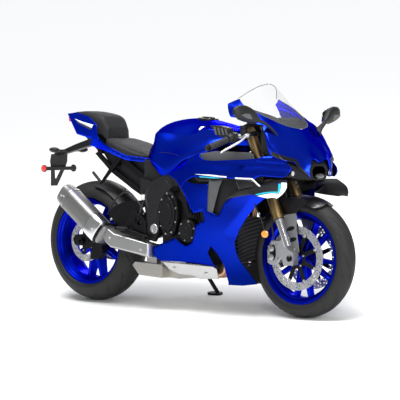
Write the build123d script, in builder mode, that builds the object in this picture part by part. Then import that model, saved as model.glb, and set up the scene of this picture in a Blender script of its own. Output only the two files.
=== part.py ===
from build123d import *
import os
from math import sin, cos, tan, radians, degrees, sqrt, atan2, hypot

os.makedirs("parts", exist_ok=True)

# Everything is drawn on the upright bike: X forward, Y to the rider's left, Z up, ground at Z 0,
# X 0 midway between the axles. The whole bike is then leaned onto its side stand at the end.

# Stance
wheelbase = 1405.0
lean_deg = 10.0
rake_deg = 24.0
steer_ground_x = wheelbase / 2 + 102.0
seat_wall = 0.3

# Tyres: radius, section width, crown radius, wall
bead_seat_r = 216.0
flange_r = bead_seat_r + 15.0
front_tyre_r = flange_r + 69.0
front_tyre_w = 120.0
front_crown_r = 62.0
rear_tyre_r = flange_r + 89.4
rear_tyre_w = 190.0
rear_crown_r = 98.5
tyre_wall = 10.0

# Rims
flange_t = 6.0
front_rim_half = 50.5
rear_rim_half = 82.5
rim_wall = 6.0
well_depth = 14.0
spoke_pairs = 5
hub_r = 36.0
front_hub_half = 62.0
rear_hub_half = 68.0

# Axles and the running fit of what turns on them
axle_r = 12.5
axle_fit = 0.05
front_lug_inner = 83.0
front_axle_half = 122.0
rear_axle_half = 160.0
rear_axle_right = 146.0
hollow_r = 8.0

# Discs
front_disc_r = 160.0
front_disc_inner = 122.0
front_disc_y = 63.0
disc_t = 5.0
rear_disc_r = 110.0
rear_disc_inner = 72.0
rear_disc_y = -92.0

# Fork
fork_y = 104.0
fork_offset = 28.9
outer_tube_r = 27.5
inner_tube_r = 21.5
fork_top_z = 940.0
outer_tube_low_z = 492.0
lug_top_z = 392.0
stem_r = 15.0
stem_fit = 0.06
stem_hollow_r = 10.0
lower_clamp_z = 655.0
upper_clamp_z = 925.0
clamp_t = 34.0
head_r = 32.0

# Drive
chain_y = 112.0
chain_pitch = 15.875
chain_w = 18.0
rear_teeth = 41
front_teeth = 16
front_sprocket_x = -98.0
front_sprocket_z = 392.0
pivot_x = -157.0
pivot_z = 404.0
pivot_r = 13.0

# Bodywork skin
skin = 4.0

# Derived stance: both tyres touch the leaned ground, so the front axle sits a hair lower
phi = radians(lean_deg)
rear_axle = (-wheelbase / 2, rear_tyre_r)
drop = rear_crown_r * (1 - cos(phi))
front_axle_z = front_tyre_r - front_crown_r + (front_crown_r - drop) / cos(phi)
front_axle = (wheelbase / 2, front_axle_z)
rake = radians(rake_deg)
steer_dir = Vector(-sin(rake), 0, cos(rake))


def ground_z(y):
    """Height of the leaned ground under a point at this distance from the bike's middle."""
    return y * tan(phi) - drop / cos(phi)


def steer_x(z):
    return steer_ground_x - z * tan(rake)


def fork_x(z):
    return steer_x(z) + fork_offset / cos(rake)


def side_plane(y):
    """A plane seen from the bike's right, at this Y. Its normal points right, towards -Y."""
    return Plane(origin=(0, y, 0), x_dir=(1, 0, 0), z_dir=(0, -1, 0))


def front_plane(x):
    """A cross-section plane at this X, its own axes along Y and Z."""
    return Plane(origin=(x, 0, 0), x_dir=(0, 1, 0), z_dir=(1, 0, 0))


def from_axle(axle, offsets):
    """An outline in (X, Z) from offsets that are measured from an axle."""
    return [(axle[0] + x, axle[1] + z) for x, z in offsets]


def wheel_plane(axle):
    return Plane(origin=(axle[0], 0, axle[1]), x_dir=(1, 0, 0), z_dir=(0, 0, 1))


def wheel_axis(axle):
    return Axis((axle[0], 0, axle[1]), (0, 1, 0))


def mirrored_outline(half):
    """A closed outline about the bike's middle from its left half, listed from the top down."""
    return [(y, z) for y, z in half] + [(-y, z) for y, z in reversed(half) if y > 0]


def rod_plane(a, b):
    """A plane at a, facing b, for a round bar from a to b."""
    return Plane(origin=a, z_dir=Vector(*b) - Vector(*a))


def span(a, b):
    return (Vector(*b) - Vector(*a)).length


def half_width(table, stations, x):
    """The half width of a table of stations at this x, by straight lines between its rows."""
    for (xa, row_a), (xb, row_b) in zip(list(zip(stations, table)), list(zip(stations, table))[1:]):
        if xa <= x <= xb:
            t = (x - xa) / (xb - xa)
            return [a + (b - a) * t for a, b in zip(row_a, row_b)]
    return table[0] if x < stations[0] else table[-1]


# Tyres


def tyre_profile(r, half_w, crown, rim_half):
    """One tyre section, in (radius, Y), from bead to bead."""
    centre_r = r - crown
    a = radians(75)
    shoulder = (centre_r + crown * cos(a), crown * sin(a))
    inner_crown = crown - tyre_wall
    inner = (centre_r + inner_crown * cos(a), inner_crown * sin(a))
    bead = rim_half - flange_t - seat_wall
    seat = bead_seat_r + seat_wall
    lip = flange_r + seat_wall + 0.5
    right = [
        (shoulder[0], shoulder[1]), (lip + 6, half_w - 6), (lip, bead + 4), (lip, bead),
        (seat, bead), (seat, bead - 12), (seat + 8, bead - 12), (inner[0], inner[1]),
    ]
    left = [(p, -y) for p, y in right]
    return right, left, (r, 0), (r - tyre_wall, 0)


with BuildPart() as front_tyre:
    with BuildSketch(wheel_plane(front_axle)):
        right, left, top, under = tyre_profile(front_tyre_r, front_tyre_w / 2, front_crown_r, front_rim_half)
        with BuildLine():
            ThreePointArc(left[0], top, right[0])
            Polyline(*right)
            ThreePointArc(right[-1], under, left[-1])
            Polyline(*left)
        make_face()
    revolve(axis=wheel_axis(front_axle))
front_tyre.part.label = "front_tyre"

with BuildPart() as rear_tyre:
    with BuildSketch(wheel_plane(rear_axle)):
        right, left, top, under = tyre_profile(rear_tyre_r, rear_tyre_w / 2, rear_crown_r, rear_rim_half)
        with BuildLine():
            ThreePointArc(left[0], top, right[0])
            Polyline(*right)
            ThreePointArc(right[-1], under, left[-1])
            Polyline(*left)
        make_face()
    revolve(axis=wheel_axis(rear_axle))
rear_tyre.part.label = "rear_tyre"


# Rims: a barrel with a dropped well, a hub and five pairs of spokes


def rim_profile(half):
    well = bead_seat_r - well_depth
    slope = half * 0.45
    return [
        (flange_r, half), (flange_r, half - flange_t), (bead_seat_r, half - flange_t),
        (bead_seat_r, half - 20), (well, slope), (well, -slope), (bead_seat_r, 20 - half),
        (bead_seat_r, flange_t - half), (flange_r, flange_t - half), (flange_r, -half),
        (flange_r - 8, -half), (bead_seat_r - rim_wall, 20 - half), (well - rim_wall, -slope),
        (well - rim_wall, slope), (bead_seat_r - rim_wall, half - 20), (flange_r - 8, half),
    ]


def spoke_planes(axle, angle, spread):
    """Root and tip planes of one spoke: its root beside the hub, its tip in the rim's well."""
    tip_r = bead_seat_r - well_depth - 1
    planes = []
    for radius, turn in ((hub_r * 0.7, spread * 1.3), (tip_r, spread)):
        t = radians(angle + turn)
        out = Vector(cos(t), 0, sin(t))
        planes.append((Vector(axle[0], 0, axle[1]) + out * radius, out))
    root, tip = planes
    along = (tip[0] - root[0]).normalized()
    return [Plane(origin=p, x_dir=(0, 1, 0), z_dir=along) for p, out in planes]


# name: axle, half width of the rim, hub half length, spoke depth at the hub and at the rim
rim_table = {
    "front": (front_axle, front_rim_half, front_hub_half, 56.0, 40.0, -90.0),
    "rear": (rear_axle, rear_rim_half, rear_hub_half, 84.0, 52.0, -90.0),
}
spoke_root_w = 26.0
spoke_tip_w = 17.0
spoke_spread_deg = 13.0

with BuildPart() as front_rim:
    axle, half, hub_half, root_d, tip_d, first = rim_table["front"]
    with BuildSketch(wheel_plane(axle)):
        Polygon(*rim_profile(half), align=None)
    revolve(axis=wheel_axis(axle))
    with BuildSketch(side_plane(hub_half)):
        with Locations(axle):
            Circle(hub_r)
    extrude(amount=2 * hub_half)
    for k in range(spoke_pairs):
        for spread in (-spoke_spread_deg, spoke_spread_deg):
            root, tip = spoke_planes(axle, first + 360 / spoke_pairs * k, spread)
            with BuildSketch(root):
                RectangleRounded(root_d, spoke_root_w, 6)
            with BuildSketch(tip):
                RectangleRounded(tip_d, spoke_tip_w, 6)
            loft()
    with BuildSketch(side_plane(hub_half)):
        with Locations(axle):
            Circle(axle_r + axle_fit)
    extrude(amount=2 * hub_half, mode=Mode.SUBTRACT)
front_rim.part.label = "front_rim"

with BuildPart() as rear_rim:
    axle, half, hub_half, root_d, tip_d, first = rim_table["rear"]
    with BuildSketch(wheel_plane(axle)):
        Polygon(*rim_profile(half), align=None)
    revolve(axis=wheel_axis(axle))
    with BuildSketch(side_plane(hub_half)):
        with Locations(axle):
            Circle(hub_r)
    extrude(amount=2 * hub_half)
    for k in range(spoke_pairs):
        for spread in (-spoke_spread_deg, spoke_spread_deg):
            root, tip = spoke_planes(axle, first + 360 / spoke_pairs * k, spread)
            with BuildSketch(root):
                RectangleRounded(root_d, spoke_root_w, 6)
            with BuildSketch(tip):
                RectangleRounded(tip_d, spoke_tip_w, 6)
            loft()
    with BuildSketch(side_plane(hub_half)):
        with Locations(axle):
            Circle(axle_r + axle_fit)
    extrude(amount=2 * hub_half, mode=Mode.SUBTRACT)
rear_rim.part.label = "rear_rim"

# Brake discs and their carriers
carrier_t = 5.0
carrier_step = 4.0
bobbin_r = 7.0
bobbins = 8

with BuildPart() as front_discs:
    for y in (front_disc_y, -front_disc_y):
        with BuildSketch(side_plane(y + disc_t / 2)):
            with Locations(front_axle):
                Circle(front_disc_r)
                Circle(front_disc_inner, mode=Mode.SUBTRACT)
        extrude(amount=disc_t)
    # Carriers: a spider that seats in the rotor's inner edge and bolts to the hub
    for side in (1, -1):
        y = side * front_disc_y
        with BuildSketch(side_plane(y + carrier_t / 2)):
            with Locations(front_axle):
                Circle(front_disc_inner - seat_wall)
                Circle(front_disc_inner - 16, mode=Mode.SUBTRACT)
                Circle(hub_r + 16)
                with PolarLocations(85, bobbins):
                    Rectangle(70, 13)
                Circle(hub_r + seat_wall, mode=Mode.SUBTRACT)
        extrude(amount=carrier_t)
front_discs.part.label = "front_discs"

with BuildPart() as rear_disc:
    with BuildSketch(side_plane(rear_disc_y + disc_t / 2)):
        with Locations(rear_axle):
            Circle(rear_disc_r)
            Circle(rear_disc_inner, mode=Mode.SUBTRACT)
            Circle(52)
            with PolarLocations(62, 5):
                Rectangle(30, 16)
            Circle(26, mode=Mode.SUBTRACT)
    extrude(amount=disc_t)
    with BuildSketch(side_plane(-rear_hub_half - seat_wall)):
        with Locations(rear_axle):
            Circle(40)
            Circle(26, mode=Mode.SUBTRACT)
    extrude(amount=-rear_disc_y - rear_hub_half - seat_wall)
rear_disc.part.label = "rear_disc"


# Chain run: rear sprocket, and one closed loop of rollers and side plates


def chain_run():
    """Centre points and directions of the links, round both sprockets and along both straight runs."""
    big = chain_pitch / 2 / sin(radians(180 / rear_teeth))
    small = chain_pitch / 2 / sin(radians(180 / front_teeth))
    cx, cz = front_sprocket_x - rear_axle[0], front_sprocket_z - rear_axle[1]
    dist = hypot(cx, cz)
    lie = atan2(cz, cx)
    tilt = atan2(big - small, dist)
    upper = lie + radians(90) - tilt
    lower = lie - radians(90) + tilt
    straight = sqrt(dist * dist - (big - small) ** 2)
    back = 2 * radians(180) - (upper - lower)
    front = upper - lower
    total = 2 * straight + big * back + small * front
    count = 2 * round(total / chain_pitch / 2)
    points = []
    for k in range(count):
        s = total * k / count
        if s < big * back:
            a = upper + s / big
            points.append((rear_axle[0] + big * cos(a), rear_axle[1] + big * sin(a), degrees(a) + 90))
            continue
        s -= big * back
        if s < straight:
            a = lower
            x = rear_axle[0] + big * cos(a) - s * sin(a)
            z = rear_axle[1] + big * sin(a) + s * cos(a)
            points.append((x, z, degrees(a) + 90))
            continue
        s -= straight
        if s < small * front:
            a = lower + s / small
            points.append((front_sprocket_x + small * cos(a), front_sprocket_z + small * sin(a), degrees(a) + 90))
            continue
        s -= small * front
        a = upper
        x = front_sprocket_x + small * cos(a) - s * sin(a)
        z = front_sprocket_z + small * sin(a) + s * cos(a)
        points.append((x, z, degrees(a) + 90))
    return points


links = chain_run()
link_h = 14.0
waist_h = 9.0


def link_edge(side):
    """One edge of the chain, full at each pin and drawn in between pins. Side is 1 outside, -1 inside."""
    edge = []
    for (xa, za, turn_a), (xb, zb, turn_b) in zip(links, links[1:] + links[:1]):
        lie = atan2(zb - za, xb - xa)
        out = (sin(lie) * side, -cos(lie) * side)
        for share, half in ((0.16, link_h / 2 - 0.4), (0.5, waist_h / 2), (0.84, link_h / 2 - 0.4)):
            edge.append((xa + (xb - xa) * share + out[0] * half, za + (zb - za) * share + out[1] * half))
    return edge


with BuildPart() as chain:
    with BuildSketch(side_plane(chain_y + chain_w / 2)):
        Polygon(*link_edge(1), align=None)
        Polygon(*link_edge(-1), align=None, mode=Mode.SUBTRACT)
    extrude(amount=chain_w)
chain.part.label = "chain"

sprocket_t = 7.0
with BuildPart() as rear_sprocket:
    rear_pitch_r = chain_pitch / 2 / sin(radians(180 / rear_teeth))
    with BuildSketch(side_plane(chain_y + sprocket_t / 2)):
        with Locations(rear_axle):
            Circle(rear_pitch_r - link_h / 2 - 2)
            with PolarLocations(64, 6):
                Circle(14, mode=Mode.SUBTRACT)
            Circle(40, mode=Mode.SUBTRACT)
    extrude(amount=sprocket_t)
    with BuildSketch(side_plane(chain_y - sprocket_t / 2)):
        with Locations(rear_axle):
            Circle(60)
            Circle(axle_r + 8, mode=Mode.SUBTRACT)
    extrude(amount=chain_y - sprocket_t / 2 - rear_hub_half - seat_wall)
rear_sprocket.part.label = "rear_sprocket"

# Axles
with BuildPart() as front_spindle:
    with BuildSketch(side_plane(front_axle_half)):
        with Locations(front_axle):
            Circle(axle_r)
            Circle(hollow_r, mode=Mode.SUBTRACT)
    extrude(amount=2 * front_axle_half)
    for side in (1, -1):
        inner = front_hub_half + seat_wall
        with BuildSketch(side_plane(-inner if side < 0 else front_lug_inner - seat_wall)):
            with Locations(front_axle):
                Circle(axle_r + 6)
                Circle(hollow_r, mode=Mode.SUBTRACT)
        extrude(amount=front_lug_inner - seat_wall - inner)
front_spindle.part.label = "front_spindle"

arm_t = 23.5
left_arm_y = 135.75
right_arm_y = -118.0
# Swingarm: two arms of aluminium section, braced ahead of the tyre, pivoting behind the engine
arm_end = [(62.5, 45.6), (-49.5, 31.6), (-65.5, 9.6), (-49.5, -22.4), (62.5, -28.4)]
arm_outline = [(-157, 462), (-330, 452), (-480, 420), *from_axle(rear_axle, arm_end), (-480, 318), (-330, 356),
               (-157, 382)]
# Threaded holes for stand spools, from the axle
spool_at = (50.0, 4.0)
spool_r = 5.0
spool_depth = 16.0
with BuildPart() as swingarm:
    for y in (left_arm_y, right_arm_y):
        with BuildSketch(side_plane(y + arm_t / 2)):
            Polygon(*arm_outline, align=None)
            with Locations((pivot_x, pivot_z)):
                Circle(36)
        extrude(amount=arm_t)
    with BuildSketch(side_plane(left_arm_y - arm_t / 2 + 1)):
        Polygon((-200, 455), (-320, 455), (-345, 430), (-338, 372), (-300, 366), (-200, 384), align=None)
    extrude(amount=left_arm_y - right_arm_y - arm_t + 2)
    # The window in the brace that the chain's upper run passes through
    with BuildSketch(side_plane(left_arm_y - arm_t / 2)):
        Polygon((-190, 414), (-360, 414), (-360, 446), (-190, 446), align=None)
    extrude(amount=26, mode=Mode.SUBTRACT)
    with BuildSketch(side_plane(left_arm_y + arm_t)):
        with Locations(rear_axle):
            Circle(axle_r + seat_wall)
        with Locations((pivot_x, pivot_z)):
            Circle(pivot_r + seat_wall)
    extrude(amount=left_arm_y - right_arm_y + 2 * arm_t, mode=Mode.SUBTRACT)
    # The hollow rear axle, with a nut at each end
    with BuildSketch(side_plane(rear_axle_half)):
        with Locations(rear_axle):
            Circle(axle_r)
            Circle(hollow_r, mode=Mode.SUBTRACT)
    extrude(amount=rear_axle_half + rear_axle_right)
    for y, depth in ((left_arm_y + arm_t / 2 + seat_wall + 10, 10), (right_arm_y - arm_t / 2 - seat_wall, 12)):
        with BuildSketch(side_plane(y)):
            with Locations(rear_axle):
                RegularPolygon(21, 6)
                Circle(axle_r - 1, mode=Mode.SUBTRACT)
        extrude(amount=depth)
    for y in (left_arm_y + arm_t / 2, right_arm_y - arm_t / 2 + spool_depth):
        with BuildSketch(side_plane(y)):
            with Locations((rear_axle[0] + spool_at[0], rear_axle[1] + spool_at[1])):
                Circle(spool_r)
        extrude(amount=spool_depth, mode=Mode.SUBTRACT)
swingarm.part.label = "swingarm"

# Frame: twin spars from the head down to the swingarm pivot, wide at the engine
spar_outline = [(430, 815), (425, 700), (360, 660), (250, 640), (60, 640), (-30, 640), (-108, 604), (-122, 480),
                (-122, 400), (-150, 344), (-206, 356), (-205, 460), (-215, 560), (-190, 650), (-60, 700), (120, 730),
                (300, 770), (380, 815)]
spar_y = 158.0
sub_y = 92.0
sub_t = 16.0
spar_t = 20.0
gusset = [(474, 30), (398, 66), (330, 168), (290, 168), (290, 148), (372, 50), (440, 20)]
dash_centre = (560.0, 960.0)
dash_t = 24.0


def dash_point(along):
    """A point on the dash's rear face, this far up it from its middle, in (X, Z)."""
    return (dash_centre[0] + 0.8 * (dash_t + seat_wall) + 0.6 * along, dash_centre[1] - 0.6 * (dash_t + seat_wall) + 0.8 * along)


# Side stand hinge: the leg swings from its parked line to the folded one, about their common normal
stand_pivot = (-205.0, 168.0, 300.0)
stand_foot = (-95.0, 285.0)
stand_folded = (-255.0, 30.0, -60.0)
stand_ring_r = 17.0
foot_z = ground_z(stand_foot[1])
foot = (stand_foot[0], stand_foot[1], foot_z + 8)
stand_axis = (Vector(*foot) - Vector(*stand_pivot)).cross(Vector(*stand_folded)).normalized()
head_low = lower_clamp_z + clamp_t / cos(rake) + 1
head_high = upper_clamp_z - 14
with BuildPart() as frame:
    for side in (1, -1):
        with BuildSketch(side_plane(side * spar_y + spar_t / 2)):
            Polygon(*spar_outline, align=None)
            with Locations((-154, 534)):
                Circle(14, mode=Mode.SUBTRACT)
            with Locations((376, 738)):
                Rectangle(150, 170, mode=Mode.SUBTRACT)
        extrude(amount=spar_t)
    with BuildSketch(Plane.XY.offset(700)):
        Polygon(*gusset, *[(x, -y) for x, y in reversed(gusset)], align=None)
    extrude(amount=110)
    with BuildSketch(side_plane(spar_y)):
        Polygon((-262, 596.3), (-200, 596.3), (-180, 650), (-262, 672), align=None)
        with Locations((pivot_x, pivot_z)):
            Circle(pivot_r)
    extrude(amount=2 * spar_y)
    for side in (1, -1):
        with BuildSketch(side_plane(side * sub_y + 12)):
            Polygon((-262, 552), (-190, 600), (-262, 610), align=None)
        extrude(amount=24)
    # The stay ahead of the head that carries the nose and the dash
    dash_low = dash_point(-25)
    dash_high = dash_point(30)
    with BuildSketch(side_plane(14)):
        Polygon((480, 722), (480, 762), (690, 790), (690, 744), align=None)
        Polygon((566, 760), (602, 770), (602, dash_high[1]), dash_high, dash_low, align=None)
    extrude(amount=28)
    # The side stand's bracket on the left plate
    with BuildSketch(side_plane(spar_y - 8)):
        Polygon((-205, 358), (-150, 346), (-184, 292), (-222, 292), align=None)
    extrude(amount=14)
    with BuildSketch(Plane(origin=Vector(*stand_pivot) - stand_axis * 26, z_dir=stand_axis)):
        Circle(stand_ring_r)
    extrude(amount=26 - seat_wall)
    with BuildSketch(Plane(origin=(steer_x(head_low), 0, head_low), z_dir=steer_dir)):
        Circle(head_r)
    extrude(amount=(head_high - head_low) / cos(rake))
    with BuildSketch(Plane(origin=(steer_x(head_low - 30), 0, head_low - 30), z_dir=steer_dir)):
        Circle(stem_r + stem_fit)
    extrude(amount=(head_high - head_low + 60) / cos(rake), mode=Mode.SUBTRACT)
frame.part.label = "frame"

# Subframe: a pair of rails from the spars up to the tail
sub_top = [(-262, 628), (-330, 672), (-450, 750), (-560, 810), (-640, 872), (-625, 888), (-550, 832), (-440, 778),
           (-320, 706), (-262, 668)]
sub_low = [(-262, 585), (-353, 632), (-503, 712), (-620, 800), (-640, 790), (-520, 692), (-365, 606), (-262, 556)]
with BuildPart() as subframe:
    for side in (1, -1):
        with BuildSketch(side_plane(side * sub_y + sub_t / 2)):
            Polygon(*sub_top, align=None)
            Polygon(*sub_low, align=None)
            Polygon((-590, 790), (-622, 800), (-640, 870), (-606, 850), align=None)
        extrude(amount=sub_t)
    with BuildSketch(side_plane(sub_y)):
        Polygon((-470, 730), (-510, 730), (-510, 762), (-470, 762), align=None)
    extrude(amount=2 * sub_y)
subframe.part.label = "subframe"

# Engine: one block with the gearbox behind and the cylinders leaning forward
crank = (60.0, 430.0)
engine_half = 150.0
engine_outline = [(-112, 340), (-60, 290), (60, 275), (150, 300), (185, 380), (260, 500), (330, 600), (250, 680),
                  (150, 690), (60, 600), (-40, 580), (-112, 520)]
with BuildPart() as engine_block:
    with BuildSketch(side_plane(engine_half - 2)):
        Polygon(*engine_outline, align=None)
    extrude(amount=2 * engine_half - 4)
    with BuildSketch(side_plane(90)):
        Polygon((0, 236), (150, 236), (160, 320), (-10, 320), align=None)
    extrude(amount=180)
    # The bay beside the gearbox, open for the front sprocket and its chain
    with BuildSketch(side_plane(engine_half)):
        with Locations((front_sprocket_x, front_sprocket_z)):
            Circle(66)
    extrude(amount=engine_half - chain_y + chain_w / 2 + 8, mode=Mode.SUBTRACT)
    with BuildSketch(side_plane(chain_y + chain_w / 2 - 1)):
        with Locations((front_sprocket_x, front_sprocket_z)):
            Circle(30)
    extrude(amount=chain_w + 8)
engine_block.part.label = "engine_block"

clutch_centre = (-52.0, 493.0)
clutch_half = (66.0, 118.0)
cover_centre = (82.0, 411.0)
cover_r = 60.0
case_y = engine_half - 2
with BuildPart() as engine_covers:
    with BuildSketch(side_plane(-case_y)):
        with Locations(clutch_centre):
            Ellipse(*clutch_half)
    extrude(amount=24)
    with BuildSketch(side_plane(-case_y - 24)):
        with Locations(clutch_centre):
            Ellipse(clutch_half[0] - 12, clutch_half[1] - 12)
    extrude(amount=7)
    for y, radius, depth in ((-case_y, cover_r, 30), (case_y + 28, cover_r + 22, 28)):
        with BuildSketch(side_plane(y)):
            with Locations(cover_centre):
                Circle(radius)
        extrude(amount=depth)
engine_covers.part.label = "engine_covers"

# Radiator: a core in a frame ahead of the cylinders
rad_side = (394.0, 150.0)
rad_mid_x = 362.0
rad_t = 28.0
rad_z = (262.0, 486.0)
rad_slope = -0.03
with BuildPart() as radiator:
    with BuildSketch(Plane.XY.offset(rad_z[0])):
        with BuildLine():
            ThreePointArc((rad_side[0], -rad_side[1]), (rad_mid_x, 0), rad_side)
            Line(rad_side, (rad_side[0] - rad_t, rad_side[1]))
            ThreePointArc((rad_side[0] - rad_t, rad_side[1]), (rad_mid_x - rad_t, 0), (rad_side[0] - rad_t, -rad_side[1]))
            Line((rad_side[0] - rad_t, -rad_side[1]), (rad_side[0], -rad_side[1]))
        make_face()
    extrude(amount=rad_z[1] - rad_z[0], dir=(rad_slope, 0, 1))
    with BuildSketch(side_plane(6)):
        Polygon((200, 440), (200, 466), (332, 466), (332, 440), align=None)
    extrude(amount=12)
    with BuildSketch(side_plane(engine_half)):
        Polygon(*engine_outline, align=None)
    extrude(amount=2 * engine_half, mode=Mode.SUBTRACT)
radiator.part.label = "radiator"

# Exhaust: four header pipes, a collector box, a mid shield, the silencer and its end cap
header_y = (-90.0, -30.0, 30.0, 90.0)
header_r = 19.0
box_front = 89.0
with BuildPart() as exhaust_pipes:
    for y in header_y:
        start = (272, y, 556)
        with BuildLine():
            FilletPolyline(start, (300, y, 524), (290, y * 0.95, 400), (246, y * 0.85, 205), (200, y * 0.8, 188),
                           (box_front + seat_wall, y * 0.75, 188), radius=[26, 90, 40, 40])
        with BuildSketch(Plane(origin=start, z_dir=(28, 0, -32))):
            Circle(header_r)
        sweep()
    with BuildSketch(side_plane(engine_half)):
        Polygon(*engine_outline, align=None)
    extrude(amount=2 * engine_half, mode=Mode.SUBTRACT)
    # The collector and chamber box under the engine, wider behind the fairing
    with BuildSketch(side_plane(96)):
        Polygon((box_front, 168), (box_front, 212), (-60, 226), (-112, 226), (-112, 158), (-43, 155), align=None)
    extrude(amount=192)
    with BuildSketch(side_plane(110)):
        Polygon((-111, 226), (-300, 232), (-318, 214), (-270, 165), (-111, 158), align=None)
    extrude(amount=260)
exhaust_pipes.part.label = "exhaust_pipes"

shield_outline = [(-500, 366), (-470, 330), (-435, 302), (-162, 262), (-162, 334), (-408, 380), (-462, 412)]
sil_front = (-470.0, -187.0, 356.0)
sil_rear = (-733.0, -187.0, 547.0)
sil_w = 104.0
sil_h = 124.0
cap_len = 62.0
sil_dir = Vector(*sil_rear) - Vector(*sil_front)
with BuildPart() as silencer:
    with BuildSketch(Plane(origin=sil_front, x_dir=(0, 1, 0), z_dir=sil_dir)):
        RectangleRounded(sil_w, sil_h, 40)
    extrude(amount=sil_dir.length)
    with BuildSketch(side_plane(0)):
        Polygon(*shield_outline, align=None)
        Polygon((-162, 262), (-435, 302), (-435, 200), (-162, 200), align=None)
    extrude(amount=300, mode=Mode.SUBTRACT)
    cap_plane = Plane(origin=Vector(*sil_rear), x_dir=(0, 1, 0), z_dir=sil_dir)
    with BuildSketch(cap_plane):
        RectangleRounded(sil_w, sil_h, 40)
    extrude(amount=cap_len, taper=8)
    with BuildSketch(cap_plane.offset(cap_len)):
        Circle(28)
    extrude(amount=-46, mode=Mode.SUBTRACT)
silencer.part.label = "silencer"

# Fuel tank: sections across the bike, from the seat to the head. Each row: x, then (half width, height)
tank_sections = [
    (-268, [(0, 776), (92, 778), (84, 800), (60, 842), (0, 852)]),
    (-200, [(0, 740), (138, 742), (150, 770), (112, 905), (0, 948)]),
    (-90, [(0, 689), (172, 689), (172, 760), (140, 908), (0, 980)]),
    (60, [(0, 770), (188, 772), (186, 800), (150, 900), (0, 986)]),
    (180, [(0, 800), (172, 802), (174, 830), (140, 915), (0, 960)]),
    (285, [(0, 850), (138, 852), (146, 870), (128, 896), (0, 922)]),
]
with BuildPart() as fuel_tank:
    for x, half in tank_sections:
        with BuildSketch(front_plane(x)):
            Polygon(*mirrored_outline(list(reversed(half))), align=None)
    loft(ruled=True)
fuel_tank.part.label = "fuel_tank"

# Seats
rider_sections = [
    (-272, [(0, 790), (84, 788), (74, 766), (0, 764)]),
    (-330, [(0, 812), (110, 800), (112, 762), (0, 758)]),
    (-450, [(0, 852), (140, 842), (142, 783.4), (0, 783.4)]),
    (-550, [(0, 874), (118, 868), (120, 832.4), (0, 832.4)]),
]
with BuildPart() as rider_seat:
    for x, half in rider_sections:
        with BuildSketch(front_plane(x)):
            Polygon(*mirrored_outline(half), align=None)
    loft(ruled=True)
rider_seat.part.label = "rider_seat"

rear_sections = [
    (-560, [(0, 972), (88, 950), (92, 841), (0, 841)]),
    (-600, [(0, 998), (92, 985), (98, 871), (0, 871)]),
    (-626, [(0, 1004), (90, 992), (96, 890), (0, 890)]),
    (-740, [(0, 1016), (72, 1010), (76, 950), (0, 948)]),
    (-858, [(0, 1010), (34, 1008), (38, 985), (0, 980)]),
]
with BuildPart() as passenger_seat:
    for x, half in rear_sections:
        with BuildSketch(front_plane(x)):
            Polygon(*mirrored_outline(half), align=None)
    loft(ruled=True)
passenger_seat.part.label = "passenger_seat"

# Tail: two thin flanks that carry the seats' sides, from the tank to the tip
tail_stations = (-890, -780, -620, -480, -380, -262)
tail_heights = (770, 820, 880, 940, 1000)
tail_half = [(60, 62, 66, 68, 64), (84, 88, 92, 90, 84), (112, 116, 120, 118, 104), (146, 150, 152, 146, 130),
             (132, 136, 136, 130, 120), (98, 104, 106, 104, 100)]
tail_outline = [(-258, 772), (-384, 784), (-480, 822), (-560, 852), (-600, 872), (-618, 942), (-690, 985), (-800, 1008),
                (-880, 1000), (-787, 891), (-655, 867), (-672, 832), (-500, 800), (-384, 760), (-262, 752)]
with BuildPart() as tail_cowl:
    for x, row in zip(tail_stations, tail_half):
        with BuildSketch(front_plane(x)):
            outer = [(y, z) for y, z in zip(row, tail_heights)]
            inner = [(y - skin, z) for y, z in reversed(outer)]
            Polygon(*outer, *inner, align=None)
    loft(ruled=True)
    with BuildSketch(side_plane(300)):
        Polygon(*tail_outline, align=None)
    extrude(amount=300, mode=Mode.INTERSECT)
    # A boss inside each flank, seated on the subframe's rail
    with BuildSketch(side_plane(117)):
        with Locations((-600, 850)):
            Circle(9)
    extrude(amount=117 - sub_y - sub_t / 2 - seat_wall)
    mirror(about=Plane.XZ)
    add(rider_seat.part, mode=Mode.SUBTRACT)
tail_cowl.part.label = "tail_cowl"

# Undertail core with the plate bracket on it. Each row: x, half width, low and high Z
undertail_rows = [(-556, 84, 792, 832), (-640, 84, 806, 884), (-760, 62, 884, 930), (-864, 48, 948, 966)]
with BuildPart() as plate_bracket:
    for near, far in zip(undertail_rows, undertail_rows[1:]):
        for x, half, low, high in (near, far):
            with BuildSketch(front_plane(x)):
                Polygon((-half, low), (half, low), (half, high), (-half, high), align=None)
        loft(ruled=True)
    with BuildSketch(side_plane(26)):
        Polygon((-660, 840), (-720, 880), (-860, 838), (-985, 792), (-1022, 783), (-1022, 774), (-985, 770), (-990, 690),
                (-975, 690), (-962, 770), (-860, 800), (-720, 836), align=None)
    extrude(amount=52)
    with BuildSketch(side_plane(70)):
        Polygon((-1008, 700), (-1000, 640), (-1040, 602), (-1046, 605), (-1016, 700), align=None)
    extrude(amount=140)
    with BuildSketch(Plane(origin=(-1008, 0, 700), x_dir=(0, 1, 0), z_dir=(1, 0, 0))):
        Rectangle(230, 20)
    extrude(amount=26)
plate_bracket.part.label = "plate_bracket"

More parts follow.
